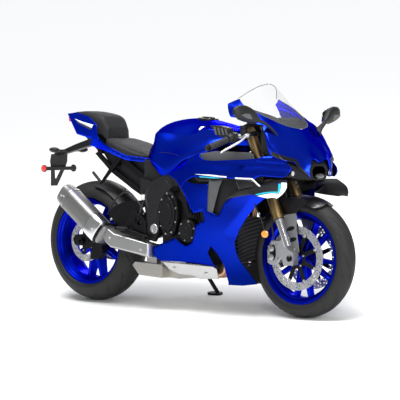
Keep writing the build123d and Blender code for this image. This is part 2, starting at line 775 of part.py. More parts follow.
# Hugger: a thin guard over the rear tyre's front
hugger_gap = 9.0
hugger_t = 3.0
hugger_lug = [(270.5, 73.6), (294.5, 73.6), (294.5, 91.6), (270.5, 91.6)]
with BuildPart() as rear_hugger:
    hugger_in = rear_tyre_r + hugger_gap
    start = Plane(origin=(rear_axle[0], 0, rear_axle[1]), x_dir=(1, 0, 0), z_dir=(0, 0, 1)).rotated((0, -17, 0))
    with BuildSketch(start):
        with BuildLine():
            ThreePointArc((hugger_in - 34, -84), (hugger_in, 0), (hugger_in - 34, 84))
            Line((hugger_in - 34, 84), (hugger_in - 34 + hugger_t, 88))
            ThreePointArc((hugger_in - 34 + hugger_t, 88), (hugger_in + hugger_t, 0), (hugger_in - 34 + hugger_t, -88))
            Line((hugger_in - 34 + hugger_t, -88), (hugger_in - 34, -84))
        make_face()
    revolve(axis=wheel_axis(rear_axle), revolution_arc=-65)
    # A lug at each side, seated on the inside of the arm
    for y, reach in ((left_arm_y - arm_t / 2 - seat_wall, 1), (right_arm_y + arm_t / 2 + seat_wall, -1)):
        with BuildSketch(side_plane(max(y, reach * 84))):
            Polygon(*from_axle(rear_axle, hugger_lug), align=None)
        extrude(amount=abs(y) - 84)
rear_hugger.part.label = "rear_hugger"

# Nose and screen share one hull. Each row: x, then (half width, height) from the middle outwards
nose_sections = [
    (345, [(0, 1190), (80, 1165), (150, 1098), (192, 1062), (204, 1020), (198, 985)]),
    (452, [(0, 1169), (70, 1145), (140, 1085), (200, 1040), (216, 1000), (212, 955)]),
    (560, [(0, 1078), (64, 1056), (130, 1010), (190, 985), (226, 945), (226, 900)]),
    (610, [(0, 1018), (62, 1002), (128, 968), (194, 955), (232, 915), (226, 815)]),
    (660, [(0, 950), (60, 940), (124, 915), (184, 893), (230, 860), (228, 812)]),
    (730, [(0, 872), (56, 866), (112, 846), (158, 812), (196, 780), (186, 742)]),
    (790, [(0, 784), (46, 800), (78, 782), (100, 755), (112, 730), (96, 706)]),
]
screen_skin = 3.5


def hull_strip(outer, inward):
    """A closed strip from a line of (Y, Z) points on the outside and the same line moved inwards."""
    normals = []
    for (ya, za), (yb, zb) in zip(outer, outer[1:]):
        size = hypot(yb - ya, zb - za)
        normals.append(((zb - za) / size, (ya - yb) / size))
    inner = []
    for k, (y, z) in enumerate(outer):
        if k == 0 and y == 0:
            inner.append((0, z - inward / max(-normals[0][1], 0.5)))
            continue
        first = normals[max(k - 1, 0)]
        last = normals[min(k, len(normals) - 1)]
        share = inward / (1 + first[0] * last[0] + first[1] * last[1])
        inner.append((y + (first[0] + last[0]) * share, z + (first[1] + last[1]) * share))
    return list(outer) + inner[::-1]


screen_cut = [(385, 1092), (395, 1088), (452, 1052), (560, 1000), (668, 941), (700, 1250), (540, 1250), (457, 1172)]
cowl_cut = [(349, 1062), (395, 1087.6), (452, 1051.6), (560, 999.6), (668, 940.6), (700, 915), (812, 815), (812, 690), (790, 700),
            (764, 745), (749, 776.5), (701, 794.5), (654, 808.5), (628, 895), (595, 958), (500, 975), (440, 990), (376, 996)]
with BuildPart() as upper_cowl:
    for x, half in nose_sections:
        with BuildSketch(front_plane(x)):
            Polygon(*hull_strip(half, skin), align=None)
    loft(ruled=True)
    with BuildSketch(side_plane(300)):
        Polygon(*cowl_cut, align=None)
    extrude(amount=300, mode=Mode.INTERSECT)
    mirror(about=Plane.XZ)
upper_cowl.part.label = "upper_cowl"

with BuildPart() as windscreen:
    for x, half in nose_sections[:5]:
        with BuildSketch(front_plane(x)):
            Polygon(*hull_strip(half, screen_skin), align=None)
    loft(ruled=True)
    with BuildSketch(side_plane(300)):
        Polygon(*screen_cut, align=None)
    extrude(amount=300, mode=Mode.INTERSECT)
    mirror(about=Plane.XZ)
windscreen.part.label = "windscreen"

# Side fairings: half widths of the hull at each station, at each height
side_heights = (150, 250, 400, 560, 700, 820)
side_stations = (-150, 0, 200, 400, 600, 810)
side_half = [
    (110, 168, 185, 175, 165, 150),
    (110, 170, 195, 200, 190, 170),
    (115, 178, 215, 228, 228, 200),
    (105, 165, 218, 235, 242, 215),
    (90, 140, 200, 220, 238, 228),
    (80, 124, 178, 190, 188, 170),
]
side_rows = list(zip(side_stations, side_half))


def side_y(x, z):
    """The outer half width of the side hull at this x and height."""
    row = half_width(side_half, side_stations, x)
    for (za, ya), (zb, yb) in zip(zip(side_heights, row), list(zip(side_heights, row))[1:]):
        if za <= z <= zb:
            return ya + (yb - ya) * (z - za) / (zb - za)
    return row[-1]


upper_panel = [(161, 809), (172, 792), (206, 777), (277, 774), (359, 779), (460, 784), (558, 791), (633, 808),
               (654, 808), (701, 794), (749, 776), (803, 752), (805, 737), (785, 737), (760, 721), (758, 700),
               (679, 704), (599, 707), (555, 686), (442, 688), (391, 691), (149, 689), (87, 667), (57, 630), (15, 669),
               (-72, 702), (34, 752), (105, 789)]
rear_panel = [(57, 630), (87, 667), (174, 654), (260, 657), (252, 521), (325, 499), (375, 571), (446, 613), (590, 650),
              (603, 594), (559, 563), (494, 495), (435, 423), (408, 371), (409, 305), (428, 230), (443, 153),
              (371, 143), (302, 144), (310, 187), (321, 250), (295, 305), (259, 344), (232, 307), (249, 266), (262, 231),
              (248, 241), (133, 250), (-7, 250), (-98, 247), (-144, 266), (-157, 286), (-154, 317), (-65, 348), (10, 372),
              (43, 348), (91, 335), (138, 358), (161, 405), (170, 446), (235, 475), (224, 520), (159, 507), (130, 536),
              (91, 596)]

fairing_boss = (10.0, 702.0)
with BuildPart() as side_fairings:
    for near, far in zip(side_rows, side_rows[1:]):
        for x, row in (near, far):
            with BuildSketch(front_plane(x)):
                Polygon(*hull_strip([(y, z) for y, z in zip(row, side_heights)][::-1], skin), align=None)
        loft(ruled=True)
    with BuildSketch(side_plane(300)):
        Polygon(*upper_panel, align=None)
        Polygon(*rear_panel, align=None)
    extrude(amount=300, mode=Mode.INTERSECT)
    # A boss behind each panel, seated on the frame's spar
    seat = spar_y + spar_t / 2 + seat_wall
    with BuildSketch(side_plane(side_y(*fairing_boss) - skin / 2)):
        with Locations(fairing_boss):
            Circle(9)
    extrude(amount=side_y(*fairing_boss) - skin / 2 - seat)
    mirror(about=Plane.XZ)
side_fairings.part.label = "side_fairings"

# Duct panels: the dark inner wall behind each side vent, set in from the skin
duct_in = 22.0
duct_outline = [(60, 640), (150, 712), (600, 712), (600, 640), (440, 600), (380, 560), (330, 480), (240, 500)]
lamp_y = 150.0
lamp_z = 722.0
lamp_r = 19.0
duct_bosses = [(300.0, 704.0), (520.0, 704.0)]
with BuildPart() as ducts:
    for near, far in zip(side_rows, side_rows[1:]):
        for x, row in (near, far):
            with BuildSketch(front_plane(x)):
                Polygon(*hull_strip([(y - duct_in, z) for y, z in zip(row, side_heights)][::-1], skin), align=None)
        loft(ruled=True)
    with BuildSketch(side_plane(300)):
        Polygon(*duct_outline, align=None)
    extrude(amount=300, mode=Mode.INTERSECT)
    for boss in duct_bosses:
        with BuildSketch(side_plane(side_y(*boss) - skin - seat_wall - 1)):
            with Locations(boss):
                Circle(6)
        extrude(amount=duct_in - skin - seat_wall)
    mirror(about=Plane.XZ)
    # The nose duct, with the headlamp in its middle and a socket for the round lamp at each side
    with BuildSketch(front_plane(690)):
        Polygon((-172, 770), (-172, 704), (-50, 690), (50, 690), (172, 704), (172, 770), (100, 820), (-100, 820),
                align=None)
    with BuildSketch(front_plane(782)):
        Polygon((-76, 740), (-60, 694), (-40, 690), (40, 690), (60, 694), (76, 740), (46, 768), (-46, 768), align=None)
    loft(ruled=True)
    for side in (1, -1):
        with BuildSketch(front_plane(690)):
            with Locations((side * lamp_y, lamp_z)):
                Circle(lamp_r + seat_wall)
        extrude(amount=100, mode=Mode.SUBTRACT)
ducts.part.label = "ducts"

# Lower panel: a dark wall across the bike below the radiator, seated inside the side fairings
lower_panel_line = [(386, rad_z[0] - seat_wall), (420, 153), (415, 152), (381, rad_z[0] - seat_wall)]
panel_gap = 5.0
with BuildPart() as lower_panel:
    for near, far in zip(side_rows, side_rows[1:]):
        for x, row in (near, far):
            with BuildSketch(front_plane(x)):
                inside_half = [(y - panel_gap, z) for y, z in zip(row, side_heights)]
                Polygon(*inside_half, *[(-y, z) for y, z in reversed(inside_half)], align=None)
        loft(ruled=True)
    with BuildSketch(side_plane(300)):
        Polygon(*lower_panel_line, align=None)
    extrude(amount=600, mode=Mode.INTERSECT)
lower_panel.part.label = "lower_panel"

# Bright metal: the strip under each side fairing, and the shield over the link pipe
shield_y = (-134.0, -205.0)
strip_outline = [(-98, 243), (246, 237), (263, 221), (250, 172), (123, 165), (81, 178), (-20, 183), (-66, 201)]
with BuildPart() as heat_shields:
    for near, far in zip(side_rows, side_rows[1:]):
        for x, row in (near, far):
            with BuildSketch(front_plane(x)):
                Polygon(*hull_strip([(y, z) for y, z in zip(row, side_heights)][::-1], skin), align=None)
        loft(ruled=True)
    with BuildSketch(side_plane(300)):
        Polygon(*strip_outline, align=None)
    extrude(amount=300, mode=Mode.INTERSECT)
    mirror(about=Plane.XZ)
    with BuildSketch(side_plane(shield_y[0])):
        Polygon(*shield_outline, align=None)
    extrude(amount=shield_y[0] - shield_y[1])
    with BuildSketch(side_plane(-100)):
        Polygon((-162, 227.7), (-162, 330), (-230, 330), (-230, 229.8), align=None)
    extrude(amount=40)
heat_shields.part.label = "heat_shields"

reflector_r = 20.0
with BuildPart() as signals:
    # Tail lamp in the tip of the tail
    with BuildSketch(front_plane(-878)):
        Polygon((-46, 984), (46, 984), (42, 956), (-42, 956), align=None)
    extrude(amount=13.7)
    # Turn signals: a stalk and a leaf-shaped lamp on each side of the bracket
    for side in (1, -1):
        with BuildSketch(Plane(origin=(-920, side * 26, 800), z_dir=(0, side, 0))):
            Circle(6)
        extrude(amount=62)
        with BuildSketch(Plane(origin=(-930, side * 86, 800), x_dir=(1, 0, 0), z_dir=(0, side, 0.12))):
            Ellipse(34, 15)
        extrude(amount=52, taper=10)
        # Red reflectors on the plate holder's ends
        with BuildSketch(Plane(origin=(-1008.3, side * 112, 700), x_dir=(0, 1, 0), z_dir=(-1, 0, 0))):
            Circle(reflector_r)
        extrude(amount=9)
        # Amber reflectors beside the front wheel, each on a thin stalk from the side fairing
        with BuildSketch(Plane(origin=(570, side * 156, 417), x_dir=(0, 1, 0), z_dir=(1, 0, 0))):
            Circle(reflector_r)
        extrude(amount=9)
        a = (570, side * 160, 430)
        b = (550, side * (side_y(550, 566) - skin - seat_wall - 4), 566)
        with BuildSketch(rod_plane(a, b)):
            Circle(3)
        extrude(amount=span(a, b))
signals.part.label = "signals"

# Winglets: each row is one chord: Y, rear x and z, front x and z, thickness
winglet_rows = [
    (200, (560, 668), (754, 698.6), 5),
    (224, (500, 650), (758, 686), 7),
    (256, (560, 622), (776, 664), 7),
    (291, (700, 604), (762, 612), 4),
]
with BuildPart() as winglets:
    for y, (xr, zr), (xf, zf), t in winglet_rows:
        with BuildSketch(side_plane(y)):
            Polygon((xr, zr), ((xr + xf) / 2, (zr + zf) / 2 + t), (xf, zf), ((xr + xf) / 2, (zr + zf) / 2 - t / 2), align=None)
    loft(ruled=True)
    add(ducts.part, mode=Mode.SUBTRACT)
    mirror(about=Plane.XZ)
winglets.part.label = "winglets"

with BuildPart() as headlamps:
    with BuildSketch(Plane(origin=(782.3, 0, 712), x_dir=(0, 1, 0), z_dir=(1, 0, 0))):
        Ellipse(36, 15)
    extrude(amount=14)
    for side in (1, -1):
        with BuildSketch(Plane(origin=(690, side * lamp_y, lamp_z), x_dir=(0, 1, 0), z_dir=(1, 0, 0))):
            Circle(lamp_r)
        extrude(amount=50)
headlamps.part.label = "headlamps"

# Mirrors: a stalk from the cowl and a housing
mirror_foot = (640.0, 160.0, 915.0)
mirror_mid = (628.0, 235.0, 966.0)
mirror_centre = (592.0, 350.0, 1012.0)
with BuildPart() as nose_core:
    for near, far in zip(nose_sections, nose_sections[1:]):
        for x, half in (near, far):
            with BuildSketch(front_plane(x)):
                Polygon(*half, (0, half[-1][1]), align=None)
        loft(ruled=True)
with BuildPart() as mirrors:
    for a, b, wide in ((mirror_foot, mirror_mid, 14), (mirror_mid, mirror_centre, 11)):
        with BuildSketch(rod_plane(a, b)):
            RectangleRounded(2 * wide, 1.2 * wide, 5)
        extrude(amount=span(a, b) + 5)
    with BuildSketch(Plane(origin=(572, 350, 1012), x_dir=(0, 1, 0), z_dir=(1, 0, 0))):
        Polygon((-66, -20), (-40, 26), (40, 40), (80, 22), (64, -22), (-20, -34), align=None)
    with BuildSketch(Plane(origin=(626, 345, 1008), x_dir=(0, 1, 0), z_dir=(1, 0, 0))):
        Polygon((-40, -8), (-26, 12), (20, 18), (40, 12), (30, -12), (-12, -16), align=None)
    loft(ruled=True)
    add(nose_core.part, mode=Mode.SUBTRACT)
    mirror(about=Plane.XZ)
mirrors.part.label = "mirrors"

with BuildPart() as dash:
    with BuildSketch(Plane(origin=(dash_centre[0], 0, dash_centre[1]), x_dir=(0, 1, 0), z_dir=(-0.8, 0, 0.6))):
        RectangleRounded(170, 90, 12)
    extrude(amount=-dash_t)
dash.part.label = "dash"

# Rear shock between the swingarm's brace and the frame
shock_x = -234.0
with BuildPart() as rear_shock:
    with BuildSketch(Plane.XY.offset(455)):
        with Locations((shock_x, 0)):
            Circle(26)
    extrude(amount=141)
rear_shock.part.label = "rear_shock"

# Rear brake: caliper under the arm, and the fluid pot by the frame
rear_caliper = [(47.5, -94.4), (98.5, -94.4), (136.5, -58.4), (126.5, -0.4), (62.5, -0.4)]
with BuildPart() as rear_brake:
    with BuildSketch(side_plane(rear_disc_y + 22)):
        Polygon(*from_axle(rear_axle, rear_caliper), align=None)
    extrude(amount=44)
    with BuildSketch(side_plane(rear_disc_y + disc_t / 2 + 2)):
        with Locations(rear_axle):
            Circle(rear_disc_r + 3)
            Circle(30, mode=Mode.SUBTRACT)
    extrude(amount=disc_t + 4, mode=Mode.SUBTRACT)
    with BuildSketch(side_plane(0)):
        Polygon(*arm_outline, align=None)
    extrude(amount=200, mode=Mode.SUBTRACT)
    with BuildSketch(Plane.XY.offset(556)):
        with Locations((-232.3, -158)):
            Circle(17)
    extrude(amount=40)
rear_brake.part.label = "rear_brake"

# Foot rests
with BuildPart() as foot_rests:
    for side in (1, -1):
        with BuildSketch(side_plane(side * 172 + 4)):
            Polygon((-300, 500), (-230, 470), (-206, 440), (-206, 380), (-250, 360), (-350, 385), (-345, 430), align=None)
        extrude(amount=8)
        with BuildSketch(Plane(origin=(-338, side * 176.3, 402), z_dir=(-0.2, side, 0.1))):
            Circle(10)
        extrude(amount=76)
        with BuildSketch(side_plane(side * 190 + 4)):
            Polygon((-350, 386), (-190, 352), (-176, 370), (-190, 376), (-325, 406), (-350, 412), align=None)
        extrude(amount=8)
    # Passenger pegs on their hangers
    for side in (1, -1):
        with BuildSketch(side_plane(side * 105.3 + 5)):
            Polygon((-440, 772), (-472, 782), (-590, 640), (-597, 628), (-580, 630), align=None)
        extrude(amount=10)
        with BuildSketch(Plane(origin=(-588, side * 110, 640), z_dir=(-0.5, side * 0.3, 0.7))):
            Circle(8)
        extrude(amount=70)
foot_rests.part.label = "foot_rests"

# Steering: stem, clamps, fork tubes and legs
def across_fork(z):
    """The plane square to the steering axis at this height."""
    return Plane(origin=(steer_x(z), 0, z), x_dir=(cos(rake), 0, sin(rake)), z_dir=steer_dir)


with BuildPart() as triple_clamps:
    for z, thick in ((lower_clamp_z, clamp_t), (upper_clamp_z, clamp_t * 0.6)):
        with BuildSketch(across_fork(z)):
            Polygon((-34, -60), (-34, 60), (0, 140), (60, 140), (66, 60), (66, -60), (60, -140), (0, -140), align=None)
            with Locations((fork_offset, fork_y), (fork_offset, -fork_y)):
                Circle(outer_tube_r + 0.1, mode=Mode.SUBTRACT)
        extrude(amount=thick)
    with BuildSketch(across_fork(lower_clamp_z)):
        Circle(stem_r)
    extrude(amount=(upper_clamp_z - lower_clamp_z) / cos(rake) + 10)
    with BuildSketch(across_fork(lower_clamp_z - 20)):
        Circle(stem_hollow_r)
    extrude(amount=400, mode=Mode.SUBTRACT)
triple_clamps.part.label = "triple_clamps"

with BuildPart() as fork_tubes:
    for side in (1, -1):
        base = across_fork(outer_tube_low_z)
        with BuildSketch(Plane(origin=(fork_x(outer_tube_low_z), side * fork_y, outer_tube_low_z), z_dir=steer_dir)):
            Circle(outer_tube_r)
        extrude(amount=(fork_top_z - outer_tube_low_z) / cos(rake))
fork_tubes.part.label = "fork_tubes"

lug_half = fork_y - front_lug_inner
lug_outline = from_axle(front_axle, [(23.5, -29.4), (23.5, 30.6), (-12.5, 45.6), (-38.5, 96.6), (-78.5, 80.6),
                                     (-62.5, 20.6), (-34.5, -37.4)])
with BuildPart() as fork_legs:
    for side in (1, -1):
        with BuildSketch(Plane(origin=(fork_x(lug_top_z - 20), side * fork_y, lug_top_z - 20), z_dir=steer_dir)):
            Circle(inner_tube_r)
        extrude(amount=(outer_tube_low_z - lug_top_z + 20) / cos(rake) - seat_wall)
        with BuildSketch(side_plane(side * fork_y + lug_half)):
            Polygon(*lug_outline, align=None)
        extrude(amount=2 * lug_half)
        with BuildSketch(side_plane(side * fork_y + lug_half)):
            with Locations(front_axle):
                Circle(axle_r + seat_wall)
        extrude(amount=2 * lug_half, mode=Mode.SUBTRACT)
fork_legs.part.label = "fork_legs"

fender_gap = 10.0
arch_side = [(-92.5, 290.6), (-2.5, 296.6), (0.5, 216.6), (-104.5, 208.6)]
fork_guard = [(-102.5, 216.6), (-1.5, 225.6), (20.5, 27.6), (-23.5, 30.6)]
with BuildPart() as front_fender:
    fender_in = front_tyre_r + fender_gap
    start = Plane(origin=(front_axle[0], 0, front_axle[1]), x_dir=(1, 0, 0), z_dir=(0, 0, 1)).rotated((0, -62, 0))
    with BuildSketch(start):
        with BuildLine():
            ThreePointArc((fender_in - 42, -70), (fender_in, 0), (fender_in - 42, 70))
            Line((fender_in - 42, 70), (fender_in - 42, 74))
            ThreePointArc((fender_in - 42, 74), (fender_in + 4, 0), (fender_in - 42, -74))
            Line((fender_in - 42, -74), (fender_in - 42, -70))
        make_face()
    revolve(axis=wheel_axis(front_axle), revolution_arc=-80)
    # The arch's sides, and the plates down the inner faces of the fork legs
    for side in (1, -1):
        with BuildSketch(side_plane(side * 72.1 + 1.3)):
            Polygon(*from_axle(front_axle, arch_side), align=None)
        extrude(amount=2.6)
    for side in (1, -1):
        with BuildSketch(side_plane(side * 74.7 + 1.3)):
            Polygon(*from_axle(front_axle, fork_guard), align=None)
        extrude(amount=2.6)
front_fender.part.label = "front_fender"

front_caliper = [(-154.5, -37.4), (-104.5, -37.4), (-52.5, 20.6), (-70.5, 85.6), (-140.5, 85.6), (-165.5, 30.6)]
with BuildPart() as front_calipers:
    for side in (1, -1):
        with BuildSketch(side_plane(side * 70 + 27)):
            Polygon(*from_axle(front_axle, front_caliper), align=None)
        extrude(amount=54)
        with BuildSketch(side_plane(side * fork_y + lug_half)):
            Polygon(*lug_outline, align=None)
        extrude(amount=2 * lug_half, mode=Mode.SUBTRACT)
        with BuildSketch(side_plane(side * front_disc_y + disc_t / 2 + 2.5)):
            with Locations(front_axle):
                Circle(front_disc_r + 4)
        extrude(amount=disc_t + 5, mode=Mode.SUBTRACT)
front_calipers.part.label = "front_calipers"

bar_in = (392.0, 205.0, 893.0)
bar_out = (335.0, 342.0, 835.0)
with BuildPart() as handlebars:
    for side in (1, -1):
        a = (bar_in[0], side * bar_in[1], bar_in[2])
        b = (bar_out[0], side * bar_out[1], bar_out[2])
        with BuildSketch(rod_plane(a, b)):
            Circle(17)
        extrude(amount=span(a, b))
        root = (428.0, side * 138.0, 908.0)
        with BuildSketch(rod_plane(root, a)):
            Circle(11)
        extrude(amount=span(root, a) + 5)
        with BuildSketch(Plane(origin=(fork_x(892), side * fork_y, 892), z_dir=steer_dir)):
            Circle(outer_tube_r + 9)
            Circle(outer_tube_r + 0.1, mode=Mode.SUBTRACT)
        extrude(amount=24)
        # Lever perch and fluid pot
        perch = (404.0, side * 186.0, 897.0)
        pivot = (494.0, side * 190.0, 905.0)
        with BuildSketch(rod_plane(perch, pivot)):
            Circle(12)
        extrude(amount=span(perch, pivot))
        with BuildSketch(Plane.XY.offset(905)):
            with Locations((452, side * 186)):
                Circle(19)
        extrude(amount=42)
handlebars.part.label = "handlebars"

with BuildPart() as hand_levers:
    for side in (1, -1):
        for p, q in (((490, 208.6, 903), (463, 230, 872)), ((463, 230, 872), (399, 300, 818))):
            a = (p[0], side * p[1], p[2])
            b = (q[0], side * q[1], q[2])
            with BuildSketch(rod_plane(a, b)):
                Circle(6)
            extrude(amount=span(a, b) + 3)
hand_levers.part.label = "hand_levers"

hose_x = front_axle[0] - 130.5
hose_z = front_axle[1] + 85.6 + seat_wall
with BuildPart() as brake_hoses:
    for side in (1, -1):
        low = (hose_x, side * 84, hose_z)
        bend = (566, side * 100, 470)
        with BuildLine():
            FilletPolyline(low, bend, (540, side * 70, 560), (520, side * 50, 655.4), radius=[60, 60])
        with BuildSketch(rod_plane(low, bend)):
            Circle(4)
        sweep()
brake_hoses.part.label = "brake_hoses"

# Side stand: on the left, its foot flat on the leaned ground
with BuildPart() as side_stand:
    with BuildSketch(Plane(origin=stand_pivot, z_dir=stand_axis)):
        Circle(stand_ring_r)
    extrude(amount=22)
    leg_top = Vector(*stand_pivot) + stand_axis * 11
    with BuildSketch(Plane(origin=leg_top, z_dir=Vector(*foot) - leg_top)):
        Circle(10.5)
    extrude(amount=(Vector(*foot) - leg_top).length)
    with BuildSketch(Plane(origin=(foot[0] - 20, foot[1], foot_z), x_dir=(1, 0, 0), z_dir=(0, -sin(phi), cos(phi)))):
        RectangleRounded(86, 44, 16)
    extrude(amount=12)
side_stand.part.label = "side_stand"

# Lean the whole bike onto its stand and write each piece
pieces = [
    front_tyre, rear_tyre, front_rim, rear_rim, front_discs, rear_disc, chain, rear_sprocket, front_spindle,
    swingarm, frame, subframe, engine_block, engine_covers, radiator, exhaust_pipes, silencer, fuel_tank,
    rider_seat, passenger_seat, tail_cowl, plate_bracket, signals, rear_hugger, upper_cowl, windscreen,
    side_fairings, ducts, lower_panel, heat_shields, winglets, headlamps, mirrors, dash, rear_shock, rear_brake, foot_rests,
    triple_clamps, fork_tubes, fork_legs, front_fender, front_calipers, handlebars, hand_levers, brake_hoses,
    side_stand,
]
leaned = []
for piece in pieces:
    placed = piece.part.rotate(Axis.X, -lean_deg)
    placed.label = piece.part.label
    leaned.append(placed)
boxes = [placed.bounding_box() for placed in leaned]
middle_x = (min(box.min.X for box in boxes) + max(box.max.X for box in boxes)) / 2
middle_y = (min(box.min.Y for box in boxes) + max(box.max.Y for box in boxes)) / 2
for placed in leaned:
    name = placed.label
    placed = placed.translate((-middle_x, -middle_y, drop))
    placed.label = name
    export_step(placed, "parts/" + name + ".step")
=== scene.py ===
from math import cos, hypot, pi, radians, sin, tan

import bmesh
import bpy
from mathutils import Matrix, Vector
from mathutils.geometry import delaunay_2d_cdt


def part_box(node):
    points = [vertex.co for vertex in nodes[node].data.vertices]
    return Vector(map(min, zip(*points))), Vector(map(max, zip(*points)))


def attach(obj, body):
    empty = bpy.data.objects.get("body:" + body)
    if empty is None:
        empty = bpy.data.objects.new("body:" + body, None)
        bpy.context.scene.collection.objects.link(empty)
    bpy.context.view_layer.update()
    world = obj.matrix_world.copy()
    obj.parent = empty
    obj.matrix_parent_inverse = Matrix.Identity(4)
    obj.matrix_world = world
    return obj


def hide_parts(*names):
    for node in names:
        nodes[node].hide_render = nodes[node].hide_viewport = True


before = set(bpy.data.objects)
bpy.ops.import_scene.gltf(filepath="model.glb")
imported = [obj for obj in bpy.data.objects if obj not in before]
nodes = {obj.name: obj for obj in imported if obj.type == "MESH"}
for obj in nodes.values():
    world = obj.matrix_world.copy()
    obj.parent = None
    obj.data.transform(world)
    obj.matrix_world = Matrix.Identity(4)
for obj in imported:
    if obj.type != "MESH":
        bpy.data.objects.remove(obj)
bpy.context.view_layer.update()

# Places are written in millimetres on the bike held upright: X forward from midway between the
# axles, Y to the rider's left, Z up from the ground. The bike then leans onto its side stand.
MM = 0.001
LEAN = radians(10)
REAR_CROWN = 98.5
DROP = REAR_CROWN * (1 - cos(LEAN))
HALF_WHEELBASE = 702.5
FRONT_TYRE_R, FRONT_CROWN = 300, 62
REAR_TYRE_R = 320.4
FRONT = (HALF_WHEELBASE, FRONT_TYRE_R - FRONT_CROWN + (FRONT_CROWN - DROP) / cos(LEAN))
REAR = (-HALF_WHEELBASE, REAR_TYRE_R)
low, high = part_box("front_tyre")
SHIFT = ((low.x + high.x) / 2 - FRONT[0] * MM, (low.y + high.y) / 2 - FRONT[1] * sin(LEAN) * MM, DROP * MM)
STAND = Matrix.Translation(SHIFT) @ Matrix.Rotation(-LEAN, 4, "X") @ Matrix.Scale(MM, 4)

RAKE = radians(24)
STEER_FOOT_X = 804.5
FORK_OFFSET, FORK_Y = 28.9, 104
STEER_UP = Vector((-sin(RAKE), 0, cos(RAKE)))


def steer_x(z):
    """The steering axis at a height."""
    return STEER_FOOT_X - z * tan(RAKE)


def fork_x(z):
    """The fork tubes' axis at a height."""
    return steer_x(z) + FORK_OFFSET / cos(RAKE)


def camera_at_photo():
    """The camera that took the photograph, leaned with the bike because the photo shows the bike upright."""
    azimuth, elevation, roll, reach = radians(40.322), radians(2.309), radians(0.742), 11557
    target = Vector((12, 0, 562.6))
    back = Vector((cos(elevation) * sin(azimuth), -cos(elevation) * cos(azimuth), sin(elevation)))
    level = Vector((cos(azimuth), sin(azimuth), 0))
    upward = back.cross(level)
    right = level * cos(roll) + upward * sin(roll)
    up = upward * cos(roll) - level * sin(roll)
    turn = Matrix((right, up, back)).transposed().to_4x4()
    lens = bpy.data.cameras.new("photo_camera")
    lens.lens = 200.8
    lens.sensor_width = 36
    lens.clip_end = 200
    camera = bpy.data.objects.new("photo_camera", lens)
    bpy.context.scene.collection.objects.link(camera)
    lean = Matrix.Translation(SHIFT) @ Matrix.Rotation(-LEAN, 4, "X")
    camera.matrix_world = lean @ Matrix.Translation((target + back * reach) * MM) @ turn
    bpy.context.scene.camera = camera


camera_at_photo()


# Finishes
class Field:
    """A number that changes over a surface. Sums and products of fields add Math nodes."""

    def __init__(self, finish, socket):
        self.finish = finish
        self.socket = socket

    def math(self, operation, *others):
        inputs = {0: self}
        for place, other in enumerate(others, 1):
            inputs[place] = other
        return self.finish.node("ShaderNodeMath", {"operation": operation}, inputs)

    def __add__(self, other):
        return self.math("ADD", other)

    def __radd__(self, other):
        return self.math("ADD", other)

    def __sub__(self, other):
        return self.math("SUBTRACT", other)

    def __rsub__(self, other):
        return self.finish.node("ShaderNodeMath", {"operation": "SUBTRACT"}, {0: other, 1: self})

    def __mul__(self, other):
        return self.math("MULTIPLY", other)

    def __rmul__(self, other):
        return self.math("MULTIPLY", other)

    def wave(self):
        return self.math("SINE")

    def within(self):
        return self.finish.node("ShaderNodeClamp", {}, {0: self})


class Finish:
    """One material of the bike, built from nodes."""

    def __init__(self, name, **fixed):
        self.material = bpy.data.materials.new(name)
        self.material.use_nodes = True
        self.tree = self.material.node_tree
        self.shader = self.tree.nodes["Principled BSDF"]
        for socket, value in fixed.items():
            place = self.shader.inputs[socket.replace("_", " ").title().replace("Ior", "IOR")]
            place.default_value = (*value, 1) if isinstance(value, tuple) else value

    def node(self, kind, settings, inputs, out=0):
        made = self.tree.nodes.new(kind)
        for key, value in settings.items():
            if key == "stops":
                ramp = made.color_ramp
                ramp.elements[0].position, ramp.elements[0].color = value[0][0], (*value[0][1], 1)
                ramp.elements[1].position, ramp.elements[1].color = value[1][0], (*value[1][1], 1)
                for position, colour in value[2:]:
                    ramp.elements.new(position).color = (*colour, 1)
            else:
                setattr(made, key, value)
        for key, value in inputs.items():
            self.feed(made.inputs[key], value)
        return Field(self, made.outputs[out])

    def feed(self, socket, value):
        if isinstance(value, Field):
            self.tree.links.new(value.socket, socket)
        elif isinstance(value, tuple) and len(value) == 3 and socket.type == "RGBA":
            socket.default_value = (*value, 1)
        else:
            socket.default_value = value

    def place(self):
        return self.node("ShaderNodeTexCoord", {}, {}, out=3)

    def parts(self, vector):
        split = self.tree.nodes.new("ShaderNodeSeparateXYZ")
        self.feed(split.inputs[0], vector)
        return [Field(self, output) for output in split.outputs]

    def noise(self, scale, detail=2.0, stretch=(1, 1, 1)):
        spot = self.node("ShaderNodeMapping", {}, {0: self.place(), 3: stretch})
        return self.node("ShaderNodeTexNoise", {}, {"Vector": spot, "Scale": scale, "Detail": detail})

    def cells(self, scale):
        return self.node("ShaderNodeTexVoronoi", {}, {"Vector": self.place(), "Scale": scale})

    def blend(self, share, first, second):
        return self.node("ShaderNodeMix", {"data_type": "RGBA"}, {0: share, 6: first, 7: second}, out=2)

    def edge_wear(self):
        bevelled = self.node("ShaderNodeBevel", {"samples": 4}, {"Radius": 0.0015})
        straight = self.node("ShaderNodeNewGeometry", {}, {}, out=1)
        along = self.node("ShaderNodeVectorMath", {"operation": "DOT_PRODUCT"}, {0: bevelled, 1: straight},
                          out=1)
        return ((1 - along) * 4).within()

    def bump(self, height, distance, strength):
        bumped = self.node("ShaderNodeBump", {}, {"Strength": strength, "Distance": distance, "Height": height})
        self.feed(self.shader.inputs["Normal"], bumped)

    def set(self, socket, value):
        self.feed(self.shader.inputs[socket], value)


